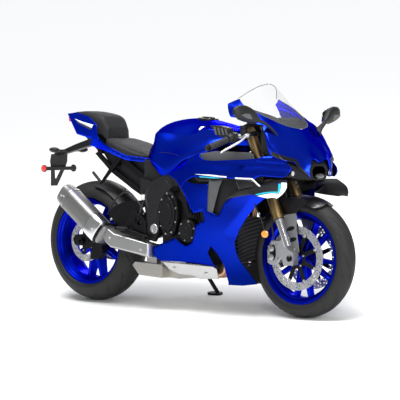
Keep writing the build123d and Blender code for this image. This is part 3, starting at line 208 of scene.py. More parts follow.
def gloss_paint(name, colour, deep, metallic=0.0, rough=0.3, coat=0.5, shade_low_down=0.0):
    """Paint under clear lacquer, with a fine flake and faint orange peel. The last argument makes it deeper low
    down: painted shade, which keeps the panels that face the bright floor dark.
    """
    made = Finish(name, metallic=metallic, roughness=rough, coat_weight=coat, coat_roughness=0.03,
                  specular_ior_level=0.3)
    if metallic:
        made.shader.inputs["Specular Tint"].default_value = (0.04, 0.1, 1, 1)
    flake = made.noise(5200, 1)
    drift = made.noise(3.5, 2)
    share = flake * 0.5 + drift * 0.35
    # Painted shade: the colour deepens towards the bottom of the bike, by height alone
    if shade_low_down:
        up = made.parts(made.place())[2]
        share = flake * 0.14 + drift * 0.1 + (up - 0.3) * shade_low_down
    made.set("Base Color", made.blend(share.within(), deep, colour))
    made.bump(made.noise(260, 1), 0.00003, 0.25)
    return made.material


def plastic(name, colour, rough):
    """Moulded plastic with a fine spark-eroded grain, a little duller where hands and dust reach it."""
    made = Finish(name, specular_ior_level=0.3)
    dust = made.noise(9, 4)
    made.set("Base Color", made.blend((dust * 0.5).within(), colour, tuple(c * 1.5 + 0.004 for c in colour)))
    made.set("Roughness", (dust * 0.16 + (rough - 0.08)).within())
    made.bump(made.noise(900, 2), 0.00006, 0.5)
    return made.material


def metal(name, colour, rough, grain=(1, 1, 1), spread=0.18, worn=(0.8, 0.8, 0.8), wear=0.25):
    """Cast, brushed or polished metal: grain along one direction, dull patches and brighter edges."""
    made = Finish(name, metallic=1.0)
    lines = made.noise(700, 3, grain)
    patches = made.noise(14, 3)
    tone = made.blend((patches * 0.7).within(), colour, tuple(c * 0.78 for c in colour))
    made.set("Base Color", made.blend((made.edge_wear() * wear).within(), tone, worn))
    made.set("Roughness", (lines * spread + patches * 0.08 + (rough - spread / 2)).within())
    made.bump(lines, 0.00004, 0.35)
    return made.material


def lens_finish(name, colour, rough=0.12):
    """A moulded lens with fine prisms behind its face."""
    made = Finish(name, coat_weight=0.8, coat_roughness=0.03)
    prisms = made.cells(260)
    made.set("Base Color", made.blend((prisms * 1.1).within(), colour,
                                      tuple(min(1, c * 1.8 + 0.05) for c in colour)))
    made.set("Roughness", (prisms * 0.2 + rough).within())
    made.bump(prisms, 0.0004, 0.6)
    return made.material


def rubber(name, colour, rough=0.62):
    """Rubber: matt, a little mottled, with a fine grain."""
    made = Finish(name, specular_ior_level=0.35)
    mottle = made.noise(30, 4)
    made.set("Base Color", made.blend(mottle, colour, tuple(c * 1.7 + 0.006 for c in colour)))
    made.set("Roughness", (mottle * 0.22 + (rough - 0.1)).within())
    made.bump(made.noise(1500, 2), 0.00005, 0.5)
    return made.material


def vinyl(name, colour):
    """Seat cover with a fine leather grain."""
    made = Finish(name, specular_ior_level=0.3, sheen_weight=0.05)
    grain = made.cells(620)
    soft = made.noise(25, 3)
    made.set("Base Color", made.blend((soft * 0.8).within(), colour, tuple(c * 1.8 + 0.004 for c in colour)))
    made.set("Roughness", (grain * 0.25 + soft * 0.12 + 0.45).within())
    made.bump(grain + soft * 0.3, 0.00022, 0.55)
    return made.material


def heated_steel(name):
    """Stainless pipe, coloured by heat from straw near the joints to brown along the bends."""
    made = Finish(name, metallic=1.0)
    heat = made.noise(7, 3)
    tint = made.node("ShaderNodeValToRGB", {"stops": [(0.25, (0.62, 0.56, 0.5)), (0.75, (0.3, 0.17, 0.11)),
                                                      (0.5, (0.55, 0.34, 0.2))]}, {0: heat})
    along = made.parts(made.place())[0]
    on_pipes = ((along - 0.165) * 18).within()
    made.set("Base Color", made.blend(on_pipes, (0.56, 0.54, 0.5), tint))
    made.set("Roughness", (made.noise(60, 3) * 0.2 + 0.26).within())
    made.bump(made.noise(500, 2), 0.00004, 0.3)
    return made.material


def clear_sheet(name):
    """Clear screen: mostly see-through, with a faint grey tint and hard reflections."""
    made = Finish(name, base_color=(0.34, 0.35, 0.37), roughness=0.03, ior=1.45, specular_ior_level=0.5)
    smears = made.noise(12, 3)
    made.set("Alpha", (smears * 0.03 + 0.055).within())
    made.material.surface_render_method = "BLENDED"
    return made.material


def radiator_core(name):
    """Rows of tubes and folded fins."""
    made = Finish(name, metallic=0.8, roughness=0.5)
    aside, up = made.parts(made.place())[1:]
    rows = (up * (2 * pi / 0.019)).wave()
    fins = (aside * (2 * pi / 0.0026)).wave()
    made.set("Base Color", made.blend((rows * 0.5 + fins * 0.2 + 0.4).within(), (0.006, 0.006, 0.007),
                                      (0.07, 0.07, 0.075)))
    made.bump(rows * 0.7 + fins * 0.3, 0.0012, 0.8)
    return made.material


# The blue is deepened towards the bottom of the bike as painted shade
BLUE = gloss_paint("deep_blue_paint", (0.01, 0.045, 0.95), (0.0, 0.008, 0.15), 1.0, 0.21, 0.02, 1.25)
WHEEL = gloss_paint("wheel_blue_paint", (0.004, 0.018, 0.66), (0.0, 0.008, 0.4), 1.0, 0.28, 0.05)
WHITE = gloss_paint("white_stripe", (0.86, 0.87, 0.88), (0.78, 0.79, 0.8))
CYAN = gloss_paint("light_blue_stripe", (0.0, 0.5, 0.66), (0.0, 0.42, 0.58))
BLACK_GLOSS = gloss_paint("gloss_black", (0.006, 0.006, 0.007), (0.003, 0.003, 0.004), 0.0, 0.3, 0.25)
BLACK = plastic("black_plastic_grained", (0.009, 0.009, 0.01), 0.46)
GREY = plastic("grey_plastic", (0.075, 0.077, 0.08), 0.46)
FENDER_GREY = plastic("fender_plate_grey", (0.16, 0.163, 0.168), 0.42)
# Painted shade: a near-black copy of the black plastic, put in gaps, holes, bores and hollows that lie in shade
SHADOW = plastic("painted_shade_black", (0.004, 0.004, 0.005), 0.7)
TYRE = rubber("tyre_tread_rubber", (0.006, 0.006, 0.0063))
HOSE = rubber("hose_black_rubber", (0.012, 0.012, 0.013), 0.45)
GRIP = rubber("grip_rubber", (0.014, 0.014, 0.015), 0.6)
VINYL = vinyl("seat_cover_vinyl", (0.008, 0.008, 0.0085))
CAST = metal("cast_silver_alloy", (0.5, 0.5, 0.51), 0.42, spread=0.12)
BRIGHT = metal("polished_steel", (0.78, 0.78, 0.78), 0.16, spread=0.08)
DISC = metal("ground_disc_steel", (0.56, 0.56, 0.56), 0.36, grain=(1, 8, 1))
GOLD = metal("bronze_anodised", (0.42, 0.29, 0.13), 0.3, spread=0.1, worn=(0.75, 0.6, 0.35))
BOLT = metal("zinc_bolt", (0.62, 0.62, 0.6), 0.34)
TITAN = metal("titanium_grey", (0.3, 0.298, 0.292), 0.44, grain=(1, 9, 9))
SHIELD = metal("satin_steel_shield", (0.5, 0.5, 0.495), 0.34, grain=(8, 1, 8), spread=0.12)
POT = plastic("milky_fluid_pot", (0.62, 0.61, 0.56), 0.4)
FRAME_GREY = metal("frame_dark_grey", (0.05, 0.05, 0.053), 0.4, worn=(0.2, 0.2, 0.2), wear=0.3)
BLACK_METAL = metal("black_coated_alloy", (0.024, 0.024, 0.026), 0.42, worn=(0.16, 0.16, 0.17), wear=0.35)
ENGINE = metal("engine_black_alloy", (0.03, 0.03, 0.032), 0.46, worn=(0.2, 0.2, 0.2), wear=0.3)
CHAIN = metal("chain_steel", (0.3, 0.27, 0.22), 0.38)
PIPE = heated_steel("heated_header_steel")
CLEAR = clear_sheet("clear_screen_sheet")
CORE = radiator_core("radiator_core_fins")
AMBER = lens_finish("amber_lens", (0.9, 0.22, 0.01))
RED = lens_finish("red_lens", (0.55, 0.008, 0.01))
LAMP = lens_finish("clear_lamp_lens", (0.32, 0.33, 0.35))
GLASS = lens_finish("dark_glass", (0.02, 0.022, 0.026), rough=0.05)
MIRROR = metal("mirror_glass", (0.7, 0.72, 0.75), 0.03, spread=0.01)

# The record's slots, each listed with the finishes of its pieces; the loop below does nothing with them
for slot, finishes in {"body_blue": (BLUE, WHITE, CYAN),
                       "black_plastic": (BLACK, BLACK_GLOSS, GREY, FENDER_GREY, SHADOW, POT),
                       "tyre_rubber": (TYRE,), "hose_rubber": (HOSE, GRIP), "seat_vinyl": (VINYL,),
                       "clear_screen": (CLEAR,), "cast_alloy": (CAST, BRIGHT, BOLT, SHIELD),
                       "brake_steel": (DISC,), "gold_alloy": (GOLD,), "titanium": (TITAN,),
                       "black_metal": (BLACK_METAL, FRAME_GREY), "engine_metal": (ENGINE,),
                       "lens": (AMBER, RED, LAMP, GLASS, MIRROR)}.items():
    for finish in finishes:
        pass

SIDES = ((-1, "right"), (1, "left"))


# Shapes
def made_piece(name, points, faces, finish, body="chassis", flat=False):
    """A mesh piece from upright millimetres, placed on the leaned bike and riding on its body."""
    mesh = bpy.data.meshes.new(name)
    mesh.from_pydata([tuple(STAND @ Vector(p)) for p in points], [], faces)
    mesh.validate()
    obj = bpy.data.objects.new(name, mesh)
    bpy.context.scene.collection.objects.link(obj)
    sheet = bmesh.new()
    sheet.from_mesh(mesh)
    bmesh.ops.remove_doubles(sheet, verts=sheet.verts, dist=0.00002)
    bmesh.ops.recalc_face_normals(sheet, faces=sheet.faces)
    sheet.to_mesh(mesh)
    sheet.free()
    for face in mesh.polygons:
        face.use_smooth = not flat
    mesh.materials.append(finish)
    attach(obj, body)
    return obj


def thicken(obj, wall, offset=-1.0, even=True):
    """A wall on a skin: inwards by itself, or half to each side with an offset of 0."""
    solid = obj.modifiers.new("wall", "SOLIDIFY")
    solid.thickness = wall * MM
    solid.offset = offset
    solid.use_even_offset = even
    return obj


def soften(obj, width, segments, angle):
    """Rounds every edge that turns more than the angle in degrees."""
    edge = obj.modifiers.new("edges", "BEVEL")
    edge.width = width * MM
    edge.segments = segments
    edge.limit_method = "ANGLE"
    edge.angle_limit = radians(angle)
    sharp(obj, angle)
    return obj


def sharp(obj, angle):
    """Edges that turn more than the angle in degrees are shaded hard."""
    sheet = bmesh.new()
    sheet.from_mesh(obj.data)
    for edge in sheet.edges:
        if len(edge.link_faces) == 2 and edge.calc_face_angle(0) > radians(angle):
            edge.smooth = False
    sheet.to_mesh(obj.data)
    sheet.free()
    return obj


def through(values, at):
    """A smooth curve through equally spaced values, read at a fractional place."""
    last = len(values) - 1
    at = min(max(at, 0), last)
    k = min(int(at), last - 1)
    t = at - k
    before, here, there, after = (values[min(max(k + d, 0), last)] for d in (-1, 0, 1, 2))
    if isinstance(here, tuple):
        return tuple(through([a, b, c, d], 1 + t) for a, b, c, d in zip(before, here, there, after))
    if k == 0:
        before = 2 * here - there
    if k == last - 1:
        after = 2 * there - here
    return 0.5 * (2 * here + (there - before) * t + (2 * before - 5 * here + 4 * there - after) * t * t
                  + (3 * here - before - 3 * there + after) * t ** 3)


def place_in(stations, x):
    """The fractional row of x in a rising list of stations."""
    for k in range(len(stations) - 1):
        if x <= stations[k + 1] or k == len(stations) - 2:
            return k + min(max((x - stations[k]) / (stations[k + 1] - stations[k]), 0), 1)


def line_at(line, x):
    """The height of a broken line at x."""
    for (xa, za), (xb, zb) in zip(line, line[1:]):
        if min(xa, xb) <= x <= max(xa, xb) and xa != xb:
            return za + (zb - za) * (x - xa) / (xb - xa)
    return line[0][1] if abs(x - line[0][0]) < abs(x - line[-1][0]) else line[-1][1]


def grid_faces(rows, columns, closed=False):
    """Four-sided faces between rows of points. Closed, each row is a ring."""
    faces = []
    for i in range(rows - 1):
        for j in range(columns if closed else columns - 1):
            k = (j + 1) % columns
            faces.append((i * columns + j, i * columns + k, (i + 1) * columns + k, (i + 1) * columns + j))
    return faces


def both_sides(points, faces):
    """The same mesh with its mirror image on the other side of the bike."""
    mirrored = [(x, -y, z) for x, y, z in points]
    count = len(points)
    return points + mirrored, faces + [tuple(count + i for i in reversed(face)) for face in faces]


def outline_mesh(outline, step, holes=()):
    """A finely divided flat mesh inside an outline of (x, z) points, with holes left open."""
    points, edges = [], []
    for ring in (outline, *holes):
        start = len(points)
        for (xa, za), (xb, zb) in zip(ring, ring[1:] + ring[:1]):
            runs = max(1, int(hypot(xb - xa, zb - za) / step))
            points += [Vector((xa + (xb - xa) * k / runs, za + (zb - za) * k / runs)) for k in range(runs)]
        edges += [(start + k, start + (k + 1) % (len(points) - start)) for k in range(len(points) - start)]
    xs, zs = [p[0] for p in outline], [p[1] for p in outline]
    for i in range(int((max(xs) - min(xs)) / step) + 1):
        for j in range(int((max(zs) - min(zs)) / step) + 1):
            spot = Vector((min(xs) + step * (i + 0.5 * (j % 2)), min(zs) + step * j))
            if inside(outline, spot, step * 0.45) and not any(near(hole, spot, step * 0.45) for hole in holes):
                points.append(spot)
    flat, _, faces, _, _, _ = delaunay_2d_cdt(points, edges, [], 1, 1e-4)
    kept = []
    for face in faces:
        centre = sum((flat[i] for i in face), Vector((0, 0))) / len(face)
        if inside(outline, centre, 0) and not any(inside(hole, centre, 0) for hole in holes):
            kept.append(tuple(face))
    return [(p[0], p[1]) for p in flat], kept


def near(ring, spot, reach):
    """Whether a spot is inside a ring or within reach of its edge."""
    return inside(ring, spot, 0) or edge_gap(ring, spot) < reach


def edge_gap(ring, spot):
    """How far a spot is from a ring's edge."""
    best = 1e9
    for (xa, za), (xb, zb) in zip(ring, ring[1:] + ring[:1]):
        run = Vector((xb - xa, zb - za))
        t = min(max((Vector(spot) - Vector((xa, za))).dot(run) / max(run.length_squared, 1e-9), 0), 1)
        best = min(best, (Vector(spot) - Vector((xa, za)) - run * t).length)
    return best


def inside(ring, spot, margin):
    """Whether a spot is inside a ring, and by more than a margin from its edge."""
    crossed = False
    for (xa, za), (xb, zb) in zip(ring, ring[1:] + ring[:1]):
        if (za > spot[1]) != (zb > spot[1]) and spot[0] < (xb - xa) * (spot[1] - za) / (zb - za) + xa:
            crossed = not crossed
    return crossed and (margin == 0 or edge_gap(ring, spot) > margin)


def side_panel(name, outline, surface, finish, wall=4, step=14, out=0.0, edge=1.2):
    """A skin cut to a side-view outline, lying on a surface that gives the half width at each (x, z)."""
    flat, faces = outline_mesh(outline, step)
    points, made = [], []
    for side in (-1, 1):
        start = len(points)
        points += [(x, side * (surface(x, z) + out), z) for x, z in flat]
        made += [tuple(start + i for i in face) for face in faces]
    obj = made_piece(name, points, made, finish)
    face_out(obj, lambda centre: Vector((0, centre.y, 0)))
    thicken(obj, wall)
    if edge:
        soften(obj, edge, 2, 50)
    return obj


def face_out(obj, away):
    """Every face of a skin looks outwards: away gives that direction at a face's centre."""
    sheet = bmesh.new()
    sheet.from_mesh(obj.data)
    back = STAND.inverted()
    for face in sheet.faces:
        if (back.to_3x3() @ face.normal).dot(away(back @ face.calc_center_median())) < 0:
            face.normal_flip()
    sheet.to_mesh(obj.data)
    sheet.free()


def ring_solid(name, rings, finish, body="chassis", edge=0.0, joined=False):
    """A closed form through rings of points, each with the same count."""
    count = len(rings[0])
    points = [p for ring in rings for p in ring]
    faces = grid_faces(len(rings), count, True)
    if joined:
        last = (len(rings) - 1) * count
        faces += [(last + j, last + (j + 1) % count, (j + 1) % count, j) for j in range(count)]
    else:
        faces.append(tuple(reversed(range(count))))
        faces.append(tuple(range((len(rings) - 1) * count, len(rings) * count)))
    obj = made_piece(name, points, faces, finish, body)
    if edge:
        soften(obj, edge, 2, 35)
    return obj


def turned(profile, centre, axis, steps):
    """Rings of a lathe profile of (radius, along) about an axis through a centre."""
    axis = Vector(axis).normalized()
    across = axis.orthogonal().normalized()
    other = axis.cross(across)
    rings = []
    for radius, along in profile:
        ring = []
        for k in range(steps):
            angle = 2 * pi * k / steps
            ring.append(Vector(centre) + axis * along + (across * cos(angle) + other * sin(angle)) * radius)
        rings.append(ring)
    return rings


def gathered(name, solids, finish, edge=0.0, body="chassis", angle=35):
    """Several closed forms in one piece. Each is a list of rings."""
    points, faces = [], []
    for rings in solids:
        start, count = len(points), len(rings[0])
        points += [tuple(p) for ring in rings for p in ring]
        faces += [tuple(start + i for i in face) for face in grid_faces(len(rings), count, True)]
        faces.append(tuple(start + i for i in reversed(range(count))))
        faces.append(tuple(start + i for i in range((len(rings) - 1) * count, len(rings) * count)))
    obj = made_piece(name, points, faces, finish, body)
    sharp(obj, angle)
    if edge:
        soften(obj, edge, 2, angle)
    return obj


def cut_plate(name, outline, holes, step, place, finish, wall, edge, body="chassis", angle=50):
    """A flat plate with windows, half its wall on each side of where place puts it."""
    flat, faces = outline_mesh(outline, step, holes)
    obj = made_piece(name, [place(x, z) for x, z in flat], faces, finish, body, flat=True)
    thicken(obj, wall, 0.0)
    soften(obj, edge, 2, angle)
    return obj


def denser(rings, divide):
    """More rings between the given ones, along smooth lines."""
    return [[through([ring[j] for ring in rings], k / divide) for j in range(len(rings[0]))]
            for k in range((len(rings) - 1) * divide + 1)]


def cap_bolt(at, axis, radius):
    """A socket-head bolt: a chamfered round head with a recess."""
    height = radius * 1.1
    profile = [(radius * 0.55, -radius * 0.2), (radius, 0), (radius, height * 0.8), (radius * 0.85, height),
               (radius * 0.5, height), (radius * 0.45, height * 0.45)]
    return turned(profile, at, axis, 12)


def ellipse(centre, half, count=44):
    """Points round an ellipse with two half lengths."""
    return [(centre[0] + half[0] * cos(2 * pi * k / count), centre[1] + half[1] * sin(2 * pi * k / count))
            for k in range(count)]


def ring_of_bolts(centre, half, y, count, size, start=0.3):
    """Bolts along an ellipse seen from the side, their heads outwards."""
    spots = [start + 2 * pi * k / count for k in range(count)]
    return [cap_bolt((centre[0] + half[0] * cos(a), y, centre[1] + half[1] * sin(a)), (0, y, 0), size)
            for a in spots]


def plate(outline, y_from, y_to):
    """A flat plate across the bike from an (x, z) outline, as rings."""
    return [[(x, y_from, z) for x, z in outline], [(x, y_to, z) for x, z in outline]]


def pipe(route, radius, steps=12, divide=10):
    """Rings along a smooth line through the route's points."""
    centres = []
    for k in range((len(route) - 1) * divide + 1):
        centres.append(Vector(through([tuple(p) for p in route], k / divide)))
    rings = []
    across = None
    for k, centre in enumerate(centres):
        ahead = (centres[min(k + 1, len(centres) - 1)] - centres[max(k - 1, 0)]).normalized()
        if across is None:
            across = ahead.orthogonal().normalized()
        across = (across - ahead * across.dot(ahead)).normalized()
        other = ahead.cross(across)
        rings.append([centre + (across * cos(2 * pi * j / steps) + other * sin(2 * pi * j / steps)) * radius
                      for j in range(steps)])
    return rings


# Bodywork surfaces
SIDE_X = (-150, 0, 200, 400, 600, 810)
SIDE_Z = (150, 250, 400, 560, 700, 820)
SIDE_HALF = ((110, 168, 185, 175, 165, 150), (110, 170, 195, 200, 190, 170), (115, 178, 215, 228, 228, 200),
             (105, 165, 218, 235, 242, 215), (90, 140, 200, 220, 238, 228), (80, 124, 178, 190, 188, 170))
GROOVE_LINE = ((-80, 722), (60, 760), (150, 766), (350, 756), (600, 766), (810, 752))
BAND_LINE = ((161, 302), (273, 384), (334, 383), (405, 358), (497, 455), (600, 548))


def half_width(x, z, stations_x, stations_z, halves):
    """A smooth half width at (x, z) through rows of halves, one row for each station in X."""
    column = place_in(stations_z, z)
    return through([through(line, column) for line in halves], place_in(stations_x, x))


def side_y(x, z):
    return half_width(x, z, SIDE_X, SIDE_Z, SIDE_HALF)


def upper_side_y(x, z):
    """The upper side panel: a shoulder over a shallow groove, flaring again towards the stripe."""
    above = (z - line_at(GROOVE_LINE, x)) / 20
    shoulder = max(z - line_at(GROOVE_LINE, x) - 14, 0)
    return side_y(x, z) - 11 / (1 + above * above * above * above) - shoulder * shoulder / 60


def lower_side_y(x, z):
    """The lower side panel, whose front edge turns inwards in a flat band."""
    past = max(x - line_at(BAND_LINE, z), 0)
    return side_y(x, z) - 0.36 * past


NOSE_X = (345, 452, 560, 610, 660, 730, 790)
NOSE = (((0, 1190), (80, 1165), (150, 1098), (192, 1062), (204, 1020), (198, 985)),
        ((0, 1169), (70, 1145), (140, 1085), (200, 1040), (216, 1000), (212, 955)),
        ((0, 1078), (64, 1056), (130, 1010), (190, 985), (226, 945), (226, 900)),
        ((0, 1018), (62, 1002), (128, 968), (194, 955), (232, 915), (226, 815)),
        ((0, 950), (60, 940), (124, 915), (184, 893), (230, 860), (228, 812)),
        ((0, 872), (56, 866), (112, 846), (158, 812), (196, 780), (186, 742)),
        ((0, 778), (42, 796), (68, 790), (80, 760), (86, 732), (78, 704)))
SCREEN_LINE = ((349, 1062), (395, 1087.6), (452, 1051.6), (560, 999.6), (668, 940.6))
COWL_LOW = ((349, 1062), (376, 996), (440, 990), (500, 975), (595, 958), (628, 895), (654, 808.5), (701, 794.5),
            (749, 776.5), (764, 745), (790, 700))


INSIDE_NOSE = Vector((400, 0, 800))


def nose_at(x, along):
    """A point (y, z) on the nose, from its middle (along 0) over the ridge (2) to its lower edge (5)."""
    row = place_in(NOSE_X, x)
    ring = [through([line[k] for line in NOSE], row) for k in range(6)]
    if along <= 2:
        left = [(-ring[1][0], ring[1][1]), ring[0], ring[1], ring[2]]
        return through(left, along + 1)
    return through(ring[2:], along - 2)


def along_to(x, height):
    """How far round the nose, from its middle, the skin comes down to a height."""
    for k in range(501):
        if nose_at(x, k / 100)[1] <= height:
            return k / 100
    return 5.0


def nose_skin(name, reach, finish, wall, out=0.0, columns=26, rows=60, edge=1.0):
    """Part of the nose skin: reach gives its first x, last x and, at each x, the two ends along the ring."""
    first, last, ends = reach
    points = []
    for i in range(rows):
        x = first + (last - first) * i / (rows - 1)
        top, bottom = ends(x)
        for j in range(columns):
            along = top + (bottom - top) * j / (columns - 1)
            y, z = nose_at(x, along)
            yb, zb = nose_at(x, along + 0.02)
            size = hypot(yb - y, zb - z) or 1
            points.append((x, y + out * (z - zb) / size, z + out * (yb - y) / size))
    points, faces = both_sides(points, grid_faces(rows, columns))
    obj = made_piece(name, points, faces, finish)
    face_out(obj, lambda centre: centre - INSIDE_NOSE)
    thicken(obj, wall)
    if edge:
        soften(obj, edge, 2, 50)
    return obj


TAIL_X = (-890, -780, -620, -480, -380, -262)
TAIL_Z = (770, 820, 880, 940, 1000)
TAIL_HALF = ((60, 62, 66, 68, 64), (84, 88, 92, 90, 84), (112, 116, 120, 118, 104), (146, 150, 152, 146, 130),
             (132, 136, 136, 130, 120), (98, 104, 106, 104, 100))


def tail_y(x, z):
    return half_width(x, z, TAIL_X, TAIL_Z, TAIL_HALF)


# Side fairings
UPPER_PANEL = [(161, 809), (172, 792), (206, 777), (277, 774), (359, 779), (460, 784), (558, 791), (633, 808),
               (654, 807), (700, 788), (740, 766), (756, 748), (750, 728), (738, 712), (722, 702), (679, 704),
               (599, 707), (555, 686), (442, 688), (391, 691), (149, 689), (87, 667), (57, 630), (15, 669),
               (-72, 702), (34, 752), (105, 789)]
REAR_PANEL = [(57, 630), (87, 667), (174, 654), (260, 657), (252, 521), (325, 499), (375, 571), (446, 613),
              (590, 650), (603, 594), (559, 563), (494, 495), (435, 423), (408, 371), (409, 305), (428, 230),
              (443, 153), (371, 143), (302, 144), (310, 187), (321, 250), (295, 305), (259, 344), (232, 307),
              (249, 266), (262, 231), (248, 241), (133, 250), (-7, 250), (-98, 247), (-144, 266), (-157, 286),
              (-154, 317), (-65, 348), (10, 372), (43, 348), (91, 335), (138, 358), (161, 405), (170, 446),
              (235, 475), (224, 520), (159, 507), (130, 536), (91, 596)]
upper_side = side_panel("side_upper_panels", UPPER_PANEL, upper_side_y, BLUE, step=12)
lower_side = side_panel("side_lower_panels", REAR_PANEL, lower_side_y, BLUE, step=13)
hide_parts("side_fairings")
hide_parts("side_fairings")
WHITE_LINES = ([(158, 704), (275, 705), (389, 699), (389, 692), (275, 697)],
               [(444, 696), (556, 695), (604, 655), (594, 652), (551, 687), (446, 688)])
for number, shape in enumerate(WHITE_LINES):
    side_panel(f"white_stripe_{number + 1}", shape, lambda x, z: side_y(x, z) - 0.2, WHITE, wall=1.2, step=8,
               out=1.0, edge=0)
side_panel("blue_line_under_stripe", [(196, 694.5), (330, 692), (362, 689), (300, 686.5), (205, 689)], side_y,
           CYAN, wall=1.2, step=8, out=0.8, edge=0)
side_panel("dark_side_patch", [(448, 684), (549, 683), (588, 655), (560, 646), (470, 634)], side_y, BLACK_GLOSS,
           wall=1.2, step=10, out=0.6, edge=0)

# Vent: the wall behind the opening in painted shade, the grey vane across it and the black wedge over it
VENT = [(60, 640), (150, 712), (600, 712), (600, 640), (440, 600), (380, 560), (330, 480), (240, 500)]
duct_wall = side_panel("vent_wall_painted_shade", VENT, lambda x, z: side_y(x, z) - 22, SHADOW, step=20)
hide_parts("ducts")
side_panel("vent_vanes", [(268, 684), (352, 686), (330, 640), (306, 575), (284, 508), (248, 510), (252, 600)],
           lambda x, z: side_y(x, z) - 5 - 0.08 * (x - 250), GREY, step=10, wall=3)
side_panel("vent_wedges", [(150, 690), (385, 691), (385, 684), (300, 672), (190, 668)],
           lambda x, z: side_y(x, z) - 7, BLACK_GLOSS, step=12, wall=2)

# Nose cowl, screen and lamps
cowl = nose_skin("nose_cowl", (349.5, 790, lambda x: (along_to(x, line_at(SCREEN_LINE, x)) if x < 668 else 0.0,
                                                      along_to(x, line_at(COWL_LOW, x)))), BLUE, 4)
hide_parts("upper_cowl")
screen = nose_skin("wind_screen",
                   (386, 667, lambda x: (0.0 if x > 458 else along_to(x, 1092 + (x - 386) * 1.02),
                                         along_to(x, line_at(SCREEN_LINE, x) + 0.6))), CLEAR, 3, rows=44,
                   columns=24)
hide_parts("windscreen")
nose_skin("running_light_strips",
          (662, 786, lambda x: (along_to(x, line_at(COWL_LOW, x) + 4 + 22 * (1 - (x - 662) / 180)),
                                along_to(x, line_at(COWL_LOW, x) + 1))), BLACK_GLOSS, 2, out=1.2, columns=8,
          rows=24, edge=0.5)

# Tank: sections across the bike. Each row is x, then (half width, height) from underneath to the middle of
# the top
TANK = ((-268, ((0, 776), (92, 778), (84, 800), (76, 820), (60, 842), (0, 852))),
        (-200, ((0, 740), (138, 742), (150, 770), (120, 838), (112, 905), (0, 948))),
        (-90, ((0, 689), (172, 689), (172, 760), (138, 838), (140, 908), (0, 980))),
        (60, ((0, 770), (188, 772), (186, 800), (160, 850), (150, 900), (0, 986))),
        (180, ((0, 800), (172, 802), (174, 830), (152, 878), (140, 932), (0, 964))),
        (285, ((0, 850), (138, 852), (146, 870), (134, 888), (128, 906), (0, 930))))
TANK_X = tuple(row[0] for row in TANK)


def tank_at(x, along):
    """A point (y, z) on the tank: along 1 is its lower corner, 4 the crease under the top, 5 the middle."""
    row = place_in(TANK_X, x)
    ring = [through([line[1][k] for line in TANK], row) for k in range(6)]
    if along <= 1:
        return through([ring[0], ring[1]], along)
    if along <= 4:
        return through(ring[1:5], along - 1)
    crest = (ring[4][0] * 0.55, ring[4][1] + (ring[5][1] - ring[4][1]) * 0.72)
    return through([ring[4], crest, ring[5], (-crest[0], crest[1])], (along - 4) * 2)


def tank_rings():
    """The tank's sections, dense enough for its creases."""
    rings = []
    for i in range(57):
        x = -268 + 553 * i / 56
        half = [tank_at(x, k / 10) for k in range(51)]
        rings.append([(x, y, z) for y, z in half[:-1]] + [(x, -y, z) for y, z in reversed(half[1:])])
    return rings


tank = ring_solid("fuel_tank_shell", tank_rings(), BLUE)
sharp(tank, 24)
soften(tank, 5, 3, 24)
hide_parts("fuel_tank")


def on_tank(x, z):
    """The half width of the tank's side at a height."""
    return min((tank_at(x, 1 + k / 50) for k in range(151)), key=lambda p: abs(p[1] - z))[0]


# Painted shade for the thin gap in each side of the tank, drawn as a fine near-black cord half sunk in the skin
SEAM = ((-196, 795), (-132, 806), (-38, 803), (20, 793))
gathered("tank_side_seam_shade", [pipe([(x, side * on_tank(x, z), z) for x, z in SEAM], 1.1, 6, 6)
                             for side in (-1, 1)], SHADOW)
badge = [turned([(0.5, 0), (13, 0), (17.5, 1.5), (18.5, 3), (18.5, -3)], (128, side * 126, 932),
                (0.1, side * 0.62, 0.78), 32) for side in (-1, 1)]
gathered("tank_badges_blank", badge, BRIGHT)
cap_axis = (0.06, 0, 1)
fuel_cap = [(1, 9), (30, 9), (34, 7), (36, 2), (52, 1), (54, -2), (54, -12), (1, -12)]
gathered("fuel_cap", [turned(fuel_cap, (62, 0, 985), cap_axis, 40)], BLACK_METAL)
gathered("fuel_cap_bolts", [cap_bolt((62 + 45 * cos(a), 45 * sin(a), 985.5 - 2.7 * cos(a)), cap_axis, 3.4)
                            for a in (pi * k / 4 for k in range(8))], BOLT)

# Tail
TAIL_OUTLINE = [(-258, 772), (-384, 784), (-480, 822), (-560, 852), (-600, 872), (-618, 942), (-690, 985),
                (-800, 1008), (-880, 1000), (-787, 891), (-655, 867), (-672, 832), (-500, 800), (-384, 760),
                (-262, 752)]
tail = side_panel("tail_side_panels", TAIL_OUTLINE, tail_y, BLUE, step=12)
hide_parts("tail_cowl")
side_panel("tail_white_stripe", [(-812, 974), (-775, 956), (-656, 924), (-645, 943), (-732, 956)], tail_y,
           WHITE, wall=1.2, step=9, out=0.8, edge=0)
side_panel("tail_dark_stripe", [(-806, 962), (-775, 948), (-664, 915), (-658, 922), (-775, 954)], tail_y,
           BLACK_GLOSS, wall=1.2, step=9, out=0.8, edge=0)

